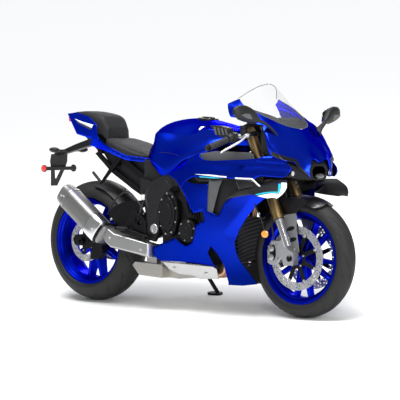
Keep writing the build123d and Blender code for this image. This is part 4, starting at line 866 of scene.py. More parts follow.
# Finishes of the pieces that keep their CAD shape
CAD_FINISH = {"front_rim": WHEEL, "rear_rim": WHEEL, "front_spindle": BOLT, "swingarm": BLACK_METAL,
              "frame": FRAME_GREY, "subframe": BLACK_METAL, "lower_panel": BLACK, "engine_block": ENGINE,
              "engine_covers": ENGINE, "exhaust_pipes": PIPE, "plate_bracket": BLACK, "rear_hugger": BLACK,
              "rear_shock": BLACK_METAL, "rear_sprocket": DISC, "triple_clamps": BLACK_METAL,
              "fork_tubes": GOLD, "fork_legs": CAST, "front_fender": BLACK, "brake_hoses": HOSE,
              "side_stand": BLACK_METAL, "heat_shields": SHIELD, "foot_rests": BLACK_METAL, "radiator": CORE,
              "rear_brake": BLACK_METAL, "handlebars": BLACK, "hand_levers": CAST, "dash": BLACK,
              "mirrors": BLACK, "headlamps": GLASS, "signals": AMBER, "winglets": BLACK_GLOSS, "chain": CHAIN,
              "silencer": TITAN, "front_tyre": TYRE, "rear_tyre": TYRE, "front_discs": DISC, "rear_disc": DISC,
              "front_calipers": CAST, "rider_seat": VINYL, "passenger_seat": VINYL}
for name, finish in CAD_FINISH.items():
    cad = nodes[name]
    cad.data.materials.clear()
    cad.data.materials.append(finish)


# Tyres: the road tyre's grooves run back and outwards from near the middle, with plain shoulders
def tyre(name, axle, radius, width, crown, rim_half, copies, cuts, body):
    """Rings round the wheel. A cut is (start across, end across, start round, end round, half width)."""
    steps = 400
    half = width / 2
    section = []
    for k in range(41):
        a = radians(-75 + 150 * k / 40)
        section.append((radius - crown + crown * cos(a), crown * sin(a)))
    bead = rim_half - 6.3
    side_wall = [(section[-1][0] * 0.55 + 237.5 * 0.45, (section[-1][1] * 0.6 + (half - 6) * 0.4) + 1.5),
                 (237.5, half - 7), (233, half - 10), (231.8, bead + 3), (231.8, bead), (217, bead),
                 (217, bead - 12), (225, bead - 12)]
    ring = [(r, -y) for r, y in reversed(side_wall)] + section + side_wall + [(radius - 14, 0)]
    tread = range(len(side_wall), len(side_wall) + len(section))
    pitch = 2 * pi / copies
    rings = []
    for k in range(steps):
        turn = 2 * pi * k / steps
        points = []
        for j, (r, y) in enumerate(ring):
            if j in tread:
                depth = 0.0
                for copy in range(copies):
                    for start, end, begin, stop, wide in cuts:
                        for side in (-1, 1):
                            shift = 0 if side > 0 else pitch / 2
                            round_to = (turn - copy * pitch - shift + pi) % (2 * pi) - pi
                            if begin - 0.02 < round_to < stop + 0.02:
                                t = (round_to - begin) / (stop - begin)
                                middle = side * (start + (end - start) * t ** 1.4) * half
                                gap = abs(y - middle)
                                if 0 <= t <= 1 and gap < wide:
                                    depth = max(depth, 5.0 * min(1, wide - gap) * min(1, t * 8, (1 - t) * 8))
                r -= depth
            points.append((axle[0] + r * cos(turn), y, axle[1] + r * sin(turn)))
        rings.append(points)
    obj = ring_solid(name, rings, TYRE, body, joined=True)
    sharp(obj, 50)
    return obj


FRONT_CUTS = ((0.10, 0.62, 0.0, 0.42, 4.4), (0.42, 0.86, 0.24, 0.52, 4.0), (0.66, 0.90, 0.02, 0.14, 3.4))
REAR_CUTS = ((0.06, 0.58, 0.0, 0.46, 4.6), (0.36, 0.78, 0.28, 0.62, 4.2), (0.62, 0.84, 0.06, 0.2, 3.6))
front_tyre = tyre("front_tyre_treaded", FRONT, FRONT_TYRE_R - 0.2, 120, FRONT_CROWN, 50.5, 9, FRONT_CUTS,
                  "front_wheel")
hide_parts("front_tyre")
rear_tyre = tyre("rear_tyre_treaded", REAR, REAR_TYRE_R, 190, REAR_CROWN, 82.5, 8, REAR_CUTS, "rear_wheel")
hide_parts("rear_tyre")


# Discs: a drilled rotor with a scalloped inner edge, and a spider with floating bobbins
def disc(name, axle, y, outer, inner, bobbins, rows, body):
    """A drilled rotor: rows are (radius, holes, first angle)."""
    bore = []
    for k in range(bobbins * 12):
        a, scalloped = 2 * pi * k / (bobbins * 12), inner + (5 if k % 12 in (5, 6, 7) else 0)
        bore.append((scalloped * cos(a), scalloped * sin(a)))
    holes = [ellipse((radius * cos(first + 2 * pi * k / count), radius * sin(first + 2 * pi * k / count)),
                     (4.1, 4.1), 8) for radius, count, first in rows for k in range(count)]
    flat, faces = outline_mesh(ellipse((0, 0), (outer, outer), 96), 4 * outer, [bore, *holes])
    obj = made_piece(name, [(axle[0] + x, y, axle[1] + z) for x, z in flat], faces, DISC, body, flat=True)
    thicken(obj, 5, 0.0)
    soften(obj, 0.35, 1, 60)
    return obj


def spider(name, axle, y, outer, hub, arms, body):
    """The black carrier between hub and rotor, its arms ending at the bobbins."""
    outline = []
    for k in range(arms):
        a = 2 * pi * (k + 0.5) / arms
        for turn, radius in ((-0.5, hub + 15), (-0.28, hub + 17), (-0.12, outer - 9), (-0.09, outer),
                             (0.09, outer), (0.12, outer - 9), (0.28, hub + 17)):
            t = a + turn * 2 * pi / arms
            outline.append((axle[0] + radius * cos(t), axle[1] + radius * sin(t)))
    return cut_plate(name, outline, [ellipse(axle, (hub, hub), 40)], 60, lambda x, z: (x, y, z), BLACK_METAL, 5,
                     0.8, body, 40)


DISC_Y, REAR_DISC_Y = 63, -92
drill_front = ((128.5, 24, 0.05), (137, 24, 0.13), (145.5, 24, 0.02), (153.5, 24, 0.1))
for side, label in SIDES:
    rotor = disc(f"front_rotor_{label}", FRONT, side * DISC_Y, 160, 121.5, 8, drill_front, "front_wheel")
    carrier = spider(f"front_carrier_{label}", FRONT, side * DISC_Y, 119, 36.5, 8, "front_wheel")
    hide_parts("front_discs")
    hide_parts("front_discs")
    buttons = []
    for k in range(8):
        a = 2 * pi * (k + 0.5) / 8
        at = (FRONT[0] + 119.5 * cos(a), side * (DISC_Y + 3.5), FRONT[1] + 119.5 * sin(a))
        buttons.append(turned([(2, 0), (7.6, 0), (7.6, -7), (2, -7)], at, (0, side, 0), 18))
    buttons += ring_of_bolts(FRONT, (44, 44), side * (DISC_Y + 2.5), 5, 5, 2 * pi * 0.25 / 5)
    gathered(f"front_bobbins_{label}", buttons, BOLT, 0.5, body="front_wheel")
rotor = disc("rear_rotor", REAR, REAR_DISC_Y, 110, 73, 5, ((80, 18, 0), (90, 18, 0.17), (101, 18, 0.06)),
             "rear_wheel")
carrier = spider("rear_disc_carrier", REAR, REAR_DISC_Y, 76, 26.5, 5, "rear_wheel")
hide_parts("rear_disc")
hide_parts("rear_disc")
hat = turned([(27, -68.3), (40, -68.3), (40, -89.5), (27, -89.5)], (REAR[0], 0, REAR[1]), (0, 1, 0), 40)
gathered("rear_disc_hat", [hat], BLACK_METAL, body="rear_wheel")
gathered("rear_disc_bolts", ring_of_bolts(REAR, (54, 54), -94.5, 5, 5, 2 * pi * 0.5 / 5), BOLT,
         body="rear_wheel")


# Seats: upholstered pads with a rolled edge and a sewn seam
def pad(name, rows, seam_at):
    """Sections across the seat, each (x, half outline from the middle of the top round to the underside)."""
    stations = [row[0] for row in rows]
    rings = []
    count = 33
    steps = 40
    for i in range(steps + 1):
        x = stations[0] + (stations[-1] - stations[0]) * i / steps
        position = place_in([-s for s in stations], -x)
        half = [through([row[1][k] for row in rows], position) for k in range(len(rows[0][1]))]
        ring = [through(half, (len(half) - 1) * k / (count - 1)) for k in range(count)]
        rings.append([(x, y, z) for y, z in ring] + [(x, -y, z) for y, z in reversed(ring[1:-1])])
    obj = ring_solid(name, rings, VINYL)
    smooth = obj.modifiers.new("rounding", "SUBSURF")
    smooth.levels = smooth.render_levels = 1
    stitch = [pipe([(x, side * y, z) for x, y, z in seam_at], 1.5, 8, 8) for side in (-1, 1)]
    gathered(name + "_piping", stitch, HOSE)
    return obj


RIDER = ((-273, ((0, 788), (52, 789), (78, 786), (76, 777), (60, 768), (0, 766))),
         (-330, ((0, 811), (76, 809), (106, 799), (111, 782), (96, 764), (0, 762))),
         (-450, ((0, 850), (98, 850), (136, 840), (141, 818), (126, 790), (0, 786))),
         (-549, ((0, 873), (84, 874), (114, 866), (118, 850), (104, 836), (0, 835))))
PILLION = ((-561, ((0, 930), (60, 926), (80, 914), (84, 890), (80, 852), (0, 846))),
           (-600, ((0, 990), (62, 986), (86, 970), (92, 926), (84, 880), (0, 873))),
           (-660, ((0, 1006), (60, 1004), (84, 994), (92, 960), (80, 912), (0, 905))),
           (-750, ((0, 1015), (48, 1014), (68, 1006), (73, 984), (60, 957), (0, 952))),
           (-857, ((0, 1009), (22, 1009), (33, 1006), (36, 996), (28, 987), (0, 983))))
saddle = pad("rider_saddle", RIDER, ((-278, 70, 788.5), (-330, 100, 803), (-400, 120, 828), (-450, 127, 846),
                                     (-510, 116, 861), (-544, 107, 870)))
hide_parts("rider_seat")
pillion = pad("pillion_saddle", PILLION, ((-568, 76, 926), (-600, 80, 976), (-660, 75, 999.5), (-750, 61, 1010),
                                          (-845, 29, 1008.5)))
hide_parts("passenger_seat")

# Winglets: each row is one chord at its Y: rear and front x and z, and the camber
WING = ((203, (548, 672), (742, 692), 6), (224, (500, 650), (756, 676), 9), (246, (520, 626), (772, 654), 9),
        (268, (600, 610), (768, 626), 8), (290, (690, 601), (748, 602), 4))


def wing_at(across, along):
    """A point on the left winglet: how far out from its root, and how far forward."""
    rows = [tuple(map(float, (y, rear[0], rear[1], front[0], front[1], camber)))
            for y, rear, front, camber in WING]
    y, xr, zr, xf, zf, camber = through(rows, across)
    bow = sin(pi * along) * camber
    return (xr + (xf - xr) * along, y, zr + (zf - zr) * along + bow)


def wing_sheet(name, ends, across_ends, finish, wall=1, out=0.7):
    """Part of both winglets, between two places along their chord and two across them."""
    points = []
    for i in range(25):
        across = across_ends[0] + (across_ends[1] - across_ends[0]) * i / 24
        for j in range(25):
            x, y, z = wing_at(across, ends[0] + (ends[1] - ends[0]) * j / 24)
            points.append((x, y, z + out))
    points, faces = both_sides(points, grid_faces(25, 25))
    obj = made_piece(name, points, faces, finish)
    face_out(obj, lambda centre: centre - INSIDE_NOSE)
    thicken(obj, wall, even=False)
    soften(obj, 0.5, 2, 50)
    return obj


wing = wing_sheet("winglets_black", (0, 1), (0, 4), BLACK_GLOSS, 4, 0)
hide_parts("winglets")
wing_sheet("winglet_white_tips", (0.0, 1.0), (3.1, 4.0), WHITE)
wing_sheet("winglet_blue_lines", (0.05, 1.0), (2.75, 2.98), CYAN)


# Front brake: a radial caliper on each leg with its bridge, window, piston caps and bolts
def caliper(side, label):
    """One front caliper, seen from its outer side."""
    outline = [(546, 268), (560, 262), (596, 262), (618, 284), (640, 320), (626, 352), (612, 384), (566, 385),
               (552, 360), (538, 334), (540, 300)]
    outer = plate(outline, side * 71, side * 96)
    inner_half = plate([(x, z) for x, z in outline if x < 622] + [(600, 300)], side * 55, side * 45)
    bridge = plate([(540, 270), (552, 268), (548, 330), (574, 380), (562, 384), (536, 334)], side * 46,
                   side * 96)
    body = gathered(f"front_caliper_{label}", [outer, inner_half, bridge], CAST, 3.0, body="steering")
    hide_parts("front_calipers")
    window = [(560, 284), (584, 286), (594, 312), (592, 340), (582, 362), (564, 360), (556, 334), (555, 304)]
    gathered(f"caliper_window_{label}", [plate(window, side * 95.5, side * 97.5)], BLACK_METAL, 0.8,
             body="steering")
    cap = [(1, 0), (13, 0), (15, 2), (15, 7), (11, 9), (1, 9)]
    details = [turned(cap, (570, side * 97, z), (0, side, 0), 24) for z in (300, 343)]
    details += [cap_bolt((604, side * 96, z), (0, side, 0), 6) for z in (292, 364)]
    gathered(f"caliper_pistons_{label}", details, CAST, 0.6, body="steering")
    bolts = [cap_bolt((x, side * 96, z), (0, side, 0), 5) for x, z in ((549, 290), (550, 352), (572, 376))]
    gathered(f"caliper_bolts_{label}", bolts, BOLT, body="steering")


caliper(-1, "right")
caliper(1, "left")

# Fork: rings at the foot of each outer tube, caps, clamp bolts and the lug's pinch bolts
rings, bolts, dark = [], [], []
for side in (-1, 1):
    for z, radius, tall in ((492, 30.6, 9), (505, 29.4, 7), (526, 31.0, 5), (536, 29.2, 12), (640, 28.4, 3)):
        rings.append(turned([(27, 0), (radius, 0.6), (radius, tall - 0.6), (27, tall)],
                            (fork_x(z), side * FORK_Y, z), STEER_UP, 40))
    dark.append(turned([(22, -3.5), (27.2, -3), (27.2, 0.1), (22, 0.1)], (fork_x(492), side * FORK_Y, 492),
                       STEER_UP, 40))
    rings.append(turned([(1, 17), (9, 17), (10, 15), (10, 6), (24, 5), (26, 2), (26, -1)],
                        (fork_x(940), side * FORK_Y, 940), STEER_UP, 32))
    for x, z in ((704, 312), (712, 284)):
        bolts.append(cap_bolt((x, side * 125.2, z), (0, side, 0), 4.5))
    for z in (648, 668):
        bolts.append(cap_bolt((fork_x(z) + 34, side * 84, z), (cos(RAKE), 0, sin(RAKE)), 5))
gathered("fork_rings", rings, GOLD, body="steering")
INNER_TUBE = [(20, 0), (22.1, 0.4), (22.1, 132), (20, 132.4)]
sleeves = [turned(INNER_TUBE, (fork_x(356), side * FORK_Y, 356), STEER_UP, 40) for side in (-1, 1)]
gathered("fork_inner_tubes", sleeves, BRIGHT, body="steering")
gathered("fork_wipers", dark, HOSE, body="steering")
gathered("fork_bolts", bolts, BOLT, body="steering")
AXLE_END = [(8.2, 0), (15, 0), (16, 1.5), (16, 4), (13, 5), (8.2, 5)]
gathered("front_axle_ends", [turned(AXLE_END, (FRONT[0], side * 125, FRONT[1]), (0, side, 0), 32)
                             for side in (-1, 1)], BLACK_METAL, body="steering")


# Winglet edges: white at the leading edge, a light-blue line inside it, and the blade back to the vent
wing_sheet("winglet_white_fronts", (0.87, 1.0), (0.9, 3.3), WHITE, out=0.8)
wing_sheet("winglet_blue_fronts", (0.80, 0.86), (1.2, 3.0), CYAN, out=0.8)
side_panel("winglet_root_blades", [(379, 585), (446, 627), (560, 650), (640, 652), (600, 622), (480, 603)],
           lambda x, z: side_y(x, z) + 7, BLACK_GLOSS, step=10, wall=4)

# Inner walls: grey beside the frame's head, painted shade inside the cowl, and the covers at the tank's front
# corners
INNER_SIDE = [(150, 806), (172, 770), (420, 765), (520, 775), (508, 812), (480, 820), (330, 822), (262, 822)]
side_panel("inner_side_panels", INNER_SIDE, lambda x, z: 179, GREY, step=16, wall=3)
side_panel("cowl_inner_shade", [(578, 952), (602, 930), (614, 836), (572, 817), (562, 850), (564, 930)],
           lambda x, z: 188, SHADOW, step=16, wall=3)
corner = [(186, 951), (250, 951), (304, 940), (322, 908), (304, 890), (232, 893)]
gathered("tank_front_covers", [plate(corner, side * 92, side * 136) for side in (-1, 1)], BLACK, 5)
slats = [plate([(212 + 24 * k, 944 - 3 * k), (224 + 24 * k, 943 - 3 * k), (236 + 24 * k, 903),
                (224 + 24 * k, 904)], side * 135.5, side * 138) for side in (-1, 1) for k in range(4)]
gathered("tank_front_slats", slats, GREY, 0.8)


# Nose duct: the intake under the hood in painted shade, with the oval lamp in its middle and a round lamp at
# each side
def oval(x, half_y, half_z):
    """A lamp's outline across the bike, at the nose duct's middle height."""
    return [(x, y, z) for y, z in ellipse((0, 709), (half_y, half_z), 40)]


DUCT_REAR = ((-172, 770), (-172, 704), (-50, 690), (50, 690), (172, 704), (172, 770), (100, 820), (-100, 820))
DUCT_FRONT = ((-74, 744), (-62, 698), (-40, 690), (40, 690), (62, 698), (74, 744), (44, 772), (-44, 772))
duct_rings = [[(690 + 92 * t, a[0] + (b[0] - a[0]) * t ** 1.15, a[1] + (b[1] - a[1]) * t)
               for a, b in zip(DUCT_REAR, DUCT_FRONT)] for t in (k / 8 for k in range(9))]
# Painted shade: the duct's walls and the plug in its mouth are near-black where the intake lies in shade
duct_body = ring_solid("nose_duct", duct_rings, SHADOW, edge=3)
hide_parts("ducts")
mouth = [[(782 + out, y * scale, 722 + (z - 722) * scale) for y, z in DUCT_FRONT]
         for out, scale in ((0, 0.93), (2, 0.9), (2, 0.8), (-1, 0.7))]
ring_solid("nose_duct_mouth_shade", mouth, SHADOW)
bezel = [oval(782.4, 38, 15), oval(789, 37, 14.5), oval(792, 35, 13), oval(789, 32, 11)]
ring_solid("nose_lamp_bezel", bezel, BLACK_GLOSS)
lens = ring_solid("nose_lamp_lens", [oval(788, 32, 11), oval(793, 30, 10), oval(795.5, 22, 7), oval(796, 8, 3)],
                  GLASS)
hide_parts("headlamps")
for side, label in SIDES:
    at = (690, side * 150, 722)
    rim = turned([(14, 38), (19, 36), (19.6, 44), (18.8, 49.8), (15.5, 49.8), (14, 44)], at, (1, 0, 0), 40)
    ring = gathered(f"round_lamp_ring_{label}", [rim], BLACK_GLOSS, 0.5)
    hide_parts("headlamps")
    dome = turned([(15, 40), (14.5, 44), (11, 48), (5, 49.6), (0.6, 49.8)], at, (1, 0, 0), 40)
    eye = gathered(f"round_lamp_eye_{label}", [dome], LAMP)
    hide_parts("headlamps")


# Mirrors: a stalk from the cowl and a swept housing with a signal lens in its front
def mirror_rings(side, stations):
    """Rounded sections across the mirror. Each station: y, x, z, half in x, half in z, tilt in degrees."""
    rings = []
    for k in range(33):
        y, x, z, half_x, half_z, tilt = through([tuple(map(float, row)) for row in stations],
                                                (len(stations) - 1) * k / 32)
        ring = []
        for j in range(28):
            a = 2 * pi * j / 28
            u = half_x * (abs(cos(a)) ** 0.8) * (1 if cos(a) > 0 else -1)
            w = half_z * (abs(sin(a)) ** 0.8) * (1 if sin(a) > 0 else -1)
            t = radians(tilt)
            ring.append((x + u * cos(t) - w * sin(t), side * y, z + u * sin(t) + w * cos(t)))
        rings.append(ring)
    return rings


STALK = ((176, 636, 921, 26, 9, -35), (200, 632, 942, 17, 8, -30), (236, 626, 964, 13, 8, -20),
         (278, 612, 984, 12, 11, -10))
HOUSING = ((262, 612, 980, 8, 7, -8), (282, 606, 988, 18, 21, -6), (312, 598, 1001, 23, 36, -4),
           (350, 592, 1013, 24, 40, 0), (386, 588, 1020, 22, 35, 2), (411, 584, 1022, 17, 26, 4),
           (424.5, 581, 1022, 8, 12, 4))
MIRROR_GLASS = ((292, 976), (330, 972), (380, 984), (412, 1004), (416, 1032), (390, 1048), (340, 1044),
                (302, 1024))
MIRROR_SIGNAL = ((300, 999), (330, 986), (372, 992), (402, 1008), (380, 1014), (330, 1012))
for side, label in SIDES:
    arm = gathered(f"mirror_stalk_{label}", [mirror_rings(side, STALK)], BLACK)
    shell = gathered(f"mirror_housing_{label}", [mirror_rings(side, HOUSING)], BLACK)
    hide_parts("mirrors")
    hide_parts("mirrors")
    glass = [[(x, side * y, z) for y, z in MIRROR_GLASS] for x in (571, 568.4)]
    gathered(f"mirror_glass_{label}", [glass], MIRROR, 0.6)
    strip = [[(616 + out - 0.10 * abs(y - 340), side * y, z) for y, z in MIRROR_SIGNAL] for out in (0, 3.2)]
    gathered(f"mirror_signal_{label}", [strip], GLASS, 0.8)

# Handlebars: grips with ribs, bar-end weights, switch housings, master cylinders, pots and curved levers
for side, label in SIDES:
    inner, outer = Vector((392, side * 205, 893)), Vector((335, side * 342, 835))
    along = (outer - inner).normalized()
    length = (outer - inner).length
    ribs = [(8, 26)]
    for k in range(20):
        ribs += [(15.8, 28 + 5 * k), (16.6, 29.2 + 5 * k), (16.6, 31.6 + 5 * k), (15.8, 32.8 + 5 * k)]
    ribs += [(17, 131), (17, 136), (11, 137)]
    grip = gathered(f"grip_{label}", [turned(ribs, inner, along, 32)], GRIP, angle=25, body="steering")
    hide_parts("handlebars")
    bar_end = [(5, 137.5), (14, 138), (15, 141), (15, 154), (12, length - 2), (4, length - 1.5)]
    weight = gathered(f"bar_end_{label}", [turned(bar_end, inner, along, 32)], BLACK_METAL, body="steering")
    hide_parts("handlebars")
    root = Vector((428, side * 138, 908))
    tube = pipe([root, inner, inner + along * 30], 11, 24, 6)
    bar = gathered(f"bar_tube_{label}", [tube], BLACK_METAL, body="steering")
    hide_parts("handlebars")
    clamp = turned([(27.7, 0), (34, 0), (36, 2), (36, 22), (34, 24), (27.7, 24)],
                   (fork_x(892), side * FORK_Y, 892), STEER_UP, 40)
    ear = plate([(404, 893), (428, 893), (436, 903), (434, 920), (408, 922)], side * 122, side * 150)
    holder = gathered(f"bar_clamp_{label}", [clamp, ear], BLACK_METAL, 1.0, body="steering")
    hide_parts("handlebars")
    bolt = cap_bolt((421, side * 150.5, 907), (0, side, 0), 5)
    gathered(f"bar_clamp_bolt_{label}", [bolt], BOLT, body="steering")
    switch = turned([(14, -12), (21, -10), (23, -4), (23, 18), (20, 24), (15, 25)], inner, along, 28)
    pod = plate([(380, 872), (408, 866), (424, 880), (420, 912), (398, 920), (380, 908)], side * 186,
                side * 214)
    gathered(f"switch_housing_{label}", [switch, pod], BLACK, 3, body="steering")
    buttons = [turned([(1, 0), (5, 0), (5, 4), (4, 5), (1, 5)], (x, side * 214, z), (0, side, 0), 16)
               for x, z in ((394, 902), (406, 894), (400, 880))]
    gathered(f"switch_buttons_{label}", buttons, GREY, 0.6, body="steering")
    body = turned([(7, -6), (11, -4), (12, 2), (12, 34), (10, 40), (12, 46), (12, 86), (8, 92)],
                  (404, side * 186, 897), (90, side * 4, 8), 28)
    master = gathered(f"master_cylinder_{label}", [body], CAST if side < 0 else BLACK_METAL, body="steering")
    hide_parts("handlebars")
    jar = [(10, 903), (16, 905), (17.5, 909), (17.5, 934), (16, 936), (8, 936)]
    lid = [(8, 936.4), (18.6, 936.6), (18.8, 944), (17, 946.6), (3, 946.8)]
    jar, lid = (turned(profile, (452, side * 186, 0), (0, 0, 1), 32) for profile in (jar, lid))
    pot = gathered(f"fluid_pot_{label}", [jar], BLACK, body="steering")
    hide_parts("handlebars")
    gathered(f"fluid_pot_cap_{label}", [lid], BLACK_METAL, 0.4, body="steering")
    hold = plate([(446, 896), (470, 899), (468, 906), (446, 904)], side * 178, side * 194)
    gathered(f"fluid_pot_neck_{label}", [hold], BLACK_METAL, 1, body="steering")
    blade = []
    for x, y, z, thick, tall in ((492, 205, 905, 7.5, 6.5), (484, 214, 896, 6, 6), (466, 229, 876, 4.6, 6.4),
                                 (440, 256, 853, 4.2, 6.8), (416, 283, 834, 4, 6.4), (403, 298, 821, 4, 5.6),
                                 (398.5, 303.5, 815.5, 5.4, 5.4)):
        blade.append([(x + thick * u * 0.75, side * (y + thick * u * 0.6), z + tall * v)
                      for u, v in ellipse((0, 0), (1, 1), 16)])
    lever = gathered(f"lever_{label}", [denser(blade, 6)], CAST, body="steering")
    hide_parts("hand_levers")
    pivot = turned([(1, -9), (6, -9), (6, 9), (1, 9)], (493, side * 203, 905), (0.3, 0, 1), 20)
    gathered(f"lever_pivot_{label}", [pivot], BOLT, 0.6, body="steering")

# Signals: the tail lamp, leaf-shaped turn lamps, red reflectors on the plate holder and amber ones by the
# front wheel
tail_lamp = [[(x, y, z) for y, z in ((-45, 983), (45, 983), (41, 957), (-41, 957))]
             for x in (-878.2, -886, -891.4)]
tail_light = ring_solid("tail_lamp", tail_lamp, RED, edge=1.5)
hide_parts("signals")
TURN_LENS = (((-956, 100, 800), (-957, 110, 808), (-956, 124, 807), (-951, 131, 803), (-956, 122, 797),
              (-957, 110, 795)), ((-962, 102, 800), (-964, 110, 805), (-963, 122, 804), (-959, 128, 802),
                                  (-962, 120, 799), (-964, 110, 798)))
for side, label in SIDES:
    leaf = []
    for y, x, z, half_x, half_z in ((86, -925, 800, 9, 5), (94, -928, 801, 22, 11), (108, -931, 802, 31, 14.5),
                                    (122, -931, 803, 29, 13), (132, -929, 804, 18, 8), (137, -928, 804, 6, 3)):
        leaf.append([(u, side * y, v) for u, v in ellipse((x, z), (half_x, half_z), 28)])
    shell = gathered(f"turn_signal_{label}", [denser(leaf, 4)], BLACK)
    route = [(-920, side * 26.4, 800), (-922, side * 60, 799), (-926, side * 90, 800)]
    stalk = gathered(f"turn_signal_stalk_{label}", [pipe(route, 6, 16, 6)], BLACK)
    facets = [[(x, y * side, z) for x, y, z in ring] for ring in TURN_LENS]
    window = gathered(f"turn_signal_lens_{label}", [facets], AMBER, 0.5)
    for piece in (shell, stalk, window):
        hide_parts("signals")
    rim = turned([(10, -0.3), (19.6, -0.3), (19.9, 2), (19.9, 6), (18, 8), (17, 6.5)], (-1003, side * 112, 700),
                 (0, side, 0), 40)
    red = gathered(f"red_reflector_rim_{label}", [rim], BLACK, 0.4)
    eye = turned([(17.6, 4), (17.4, 7), (12, 8.6), (1, 9)], (-1003, side * 112, 700), (0, side, 0), 40)
    glass = gathered(f"red_reflector_{label}", [eye], RED)
    rim = turned([(10, 0), (19.6, 0), (20, 2), (20, 6.5), (18, 8.4), (17, 7)], (570, side * 156, 417),
                 (0.7, side, 0), 40)
    side_rim = gathered(f"amber_reflector_rim_{label}", [rim], BLACK, 0.4)
    eye = turned([(17.8, 4), (17.6, 7.4), (12, 8.7), (1, 9)], (570, side * 156, 417), (0.7, side, 0), 40)
    side_glass = gathered(f"amber_reflector_{label}", [eye], AMBER)
    top = side * (side_y(550, 566) - 8.3)
    route = [(566, side * 156, 432), (563, side * 168, 470), (556, side * 190, 520), (550, top, 566)]
    wire = gathered(f"amber_reflector_stalk_{label}", [pipe(route, 2.8, 12, 8)], BLACK)
    for piece in (red, glass, side_rim, side_glass, wire):
        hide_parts("signals")

# Front fender: a glossy arch with a lip, matt grey plates with oval slots down the fork
def arch():
    """The arch over the tyre, in rings round the wheel from its tip to its rear edge."""
    rings = []
    steps = 54
    for k in range(steps + 1):
        turn = radians(62 + 80 * k / steps)
        end = min(1, k / 5, (steps - k) / 5)
        wide = 70 * (0.62 + 0.38 * sin(pi / 2 * end))
        ring = []
        for out, flip in ((3.6, 1), (0.3, -1)):
            line = []
            for j in range(21):
                y = -wide + 2 * wide * j / 20
                r = 310 - 42 * (abs(y) / 70) ** 2.1 + out + 2.2 * (1 - min(1, abs(abs(y) - 44) / 9)) * (out > 1)
                line.append((FRONT[0] + r * cos(turn), y, FRONT[1] + r * sin(turn)))
            ring += line[::flip]
        rings.append(ring)
    return rings


fender = ring_solid("front_fender_arch", arch(), BLACK_GLOSS, body="steering")
sharp(fender, 35)
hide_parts("front_fender")
SKIRT = [(537, 590), (560, 560), (604, 518), (640, 512), (702, 521), (712, 545), (758, 572), (742, 596),
         (700, 604), (610, 598)]
SLOT_SIZE = (27, 11)
for side, label in SIDES:
    skirt = gathered(f"fender_skirt_{label}", [plate(SKIRT, side * 70.8, side * 73.4)], BLACK_GLOSS, 1,
                     body="steering")
    guard = [(604, 510), (640, 514), (700, 523), (708, 503), (705, 453), (726, 330), (686, 334), (640, 436)]
    holes = [[(x + SLOT_SIZE[0] * cos(a) * 0.85, z + SLOT_SIZE[1] * sin(a) + 0.18 * SLOT_SIZE[0] * cos(a))
              for a in (2 * pi * j / 20 for j in range(20))] for x, z in ((671, 446), (684, 392))]
    panel = cut_plate(f"fork_guard_{label}", guard, holes, 12, lambda x, z: (x, side * 75.4, z), FENDER_GREY,
                      2.2, 0.7, "steering")
    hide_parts("front_fender")
    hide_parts("front_fender")
    # Painted shade: near-black ovals behind the slots, where the slots lie in shade
    slot_shades = [plate(hole, side * 74.2, side * 76.9) for hole in holes]
    gathered(f"fork_guard_slot_shade_{label}", slot_shades, SHADOW, body="steering")
    posts = [turned([(1, 0), (5.5, 0), (6.5, 1.5), (5.5, 3), (1, 3)], (x, side * 76.6, z), (0, side, 0), 20)
             for x, z in ((628, 503), (694, 342))]
    gathered(f"fork_guard_bolts_{label}", posts, BOLT, 0.4, body="steering")


# Screen: the grey edge all round, and a band of painted shade inside its lower edge
for side, label in SIDES:
    rear = [(386 + 8 * k, along_to(386 + 8 * k, 1092 + 8 * k * 1.02)) for k in range(10)]
    low = [(386 + 281 * k / 24, along_to(386 + 281 * k / 24, line_at(SCREEN_LINE, 386 + 281 * k / 24) + 1))
           for k in range(25)]
    lines = [[(x, side * nose_at(x, t)[0], nose_at(x, t)[1] - 1.6) for x, t in row] for row in (rear, low)]
    gathered(f"screen_edge_{label}", [pipe(line, 1.7, 8, 3) for line in lines], GREY)
nose_skin("screen_base_shade", (470, 662, lambda x: (along_to(x, line_at(SCREEN_LINE, x) + 5 + 0.1 * (x - 470)),
                                                    along_to(x, line_at(SCREEN_LINE, x) - 9))), SHADOW, 1.5,
          out=-5.5, columns=8, rows=40, edge=0)

# Dark wall below the radiator, between the two side fairings
wall = []
for k in range(12):
    x, z = 384 + 31 * k / 11, 261 - 108 * k / 11
    wall += [(x, (lower_side_y(x, z) - 9) * (j / 4 - 1), z) for j in range(9)]
lower_wall = made_piece("panel_below_radiator", wall, grid_faces(12, 9), BLACK)
thicken(lower_wall, 4, 0.0)
soften(lower_wall, 1, 2, 50)
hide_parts("lower_panel")
gathered("lower_panel_screws", [cap_bolt((392, side * 62, 246), (1, 0, 0.3), 5) for side in (-1, 1)], BOLT)

# Covers between the subframe rails and under the tank's rear edge
COVER = [(-632, 862), (-604, 800), (-520, 698), (-365, 612), (-262, 562), (-236, 640), (-172, 680), (-176, 742),
         (-262, 768), (-384, 776), (-495, 806), (-560, 846)]
side_panel("subframe_covers", COVER, lambda x, z: 80, BLACK, step=22, wall=4, edge=1.5)
LOWER_COVER = [(-262, 770), (-176, 744), (-92, 704), (-60, 688), (-140, 668), (-186, 640), (-262, 676)]
side_panel("under_tank_covers", LOWER_COVER, lambda x, z: 128, BLACK, step=16, wall=4, edge=1.5)


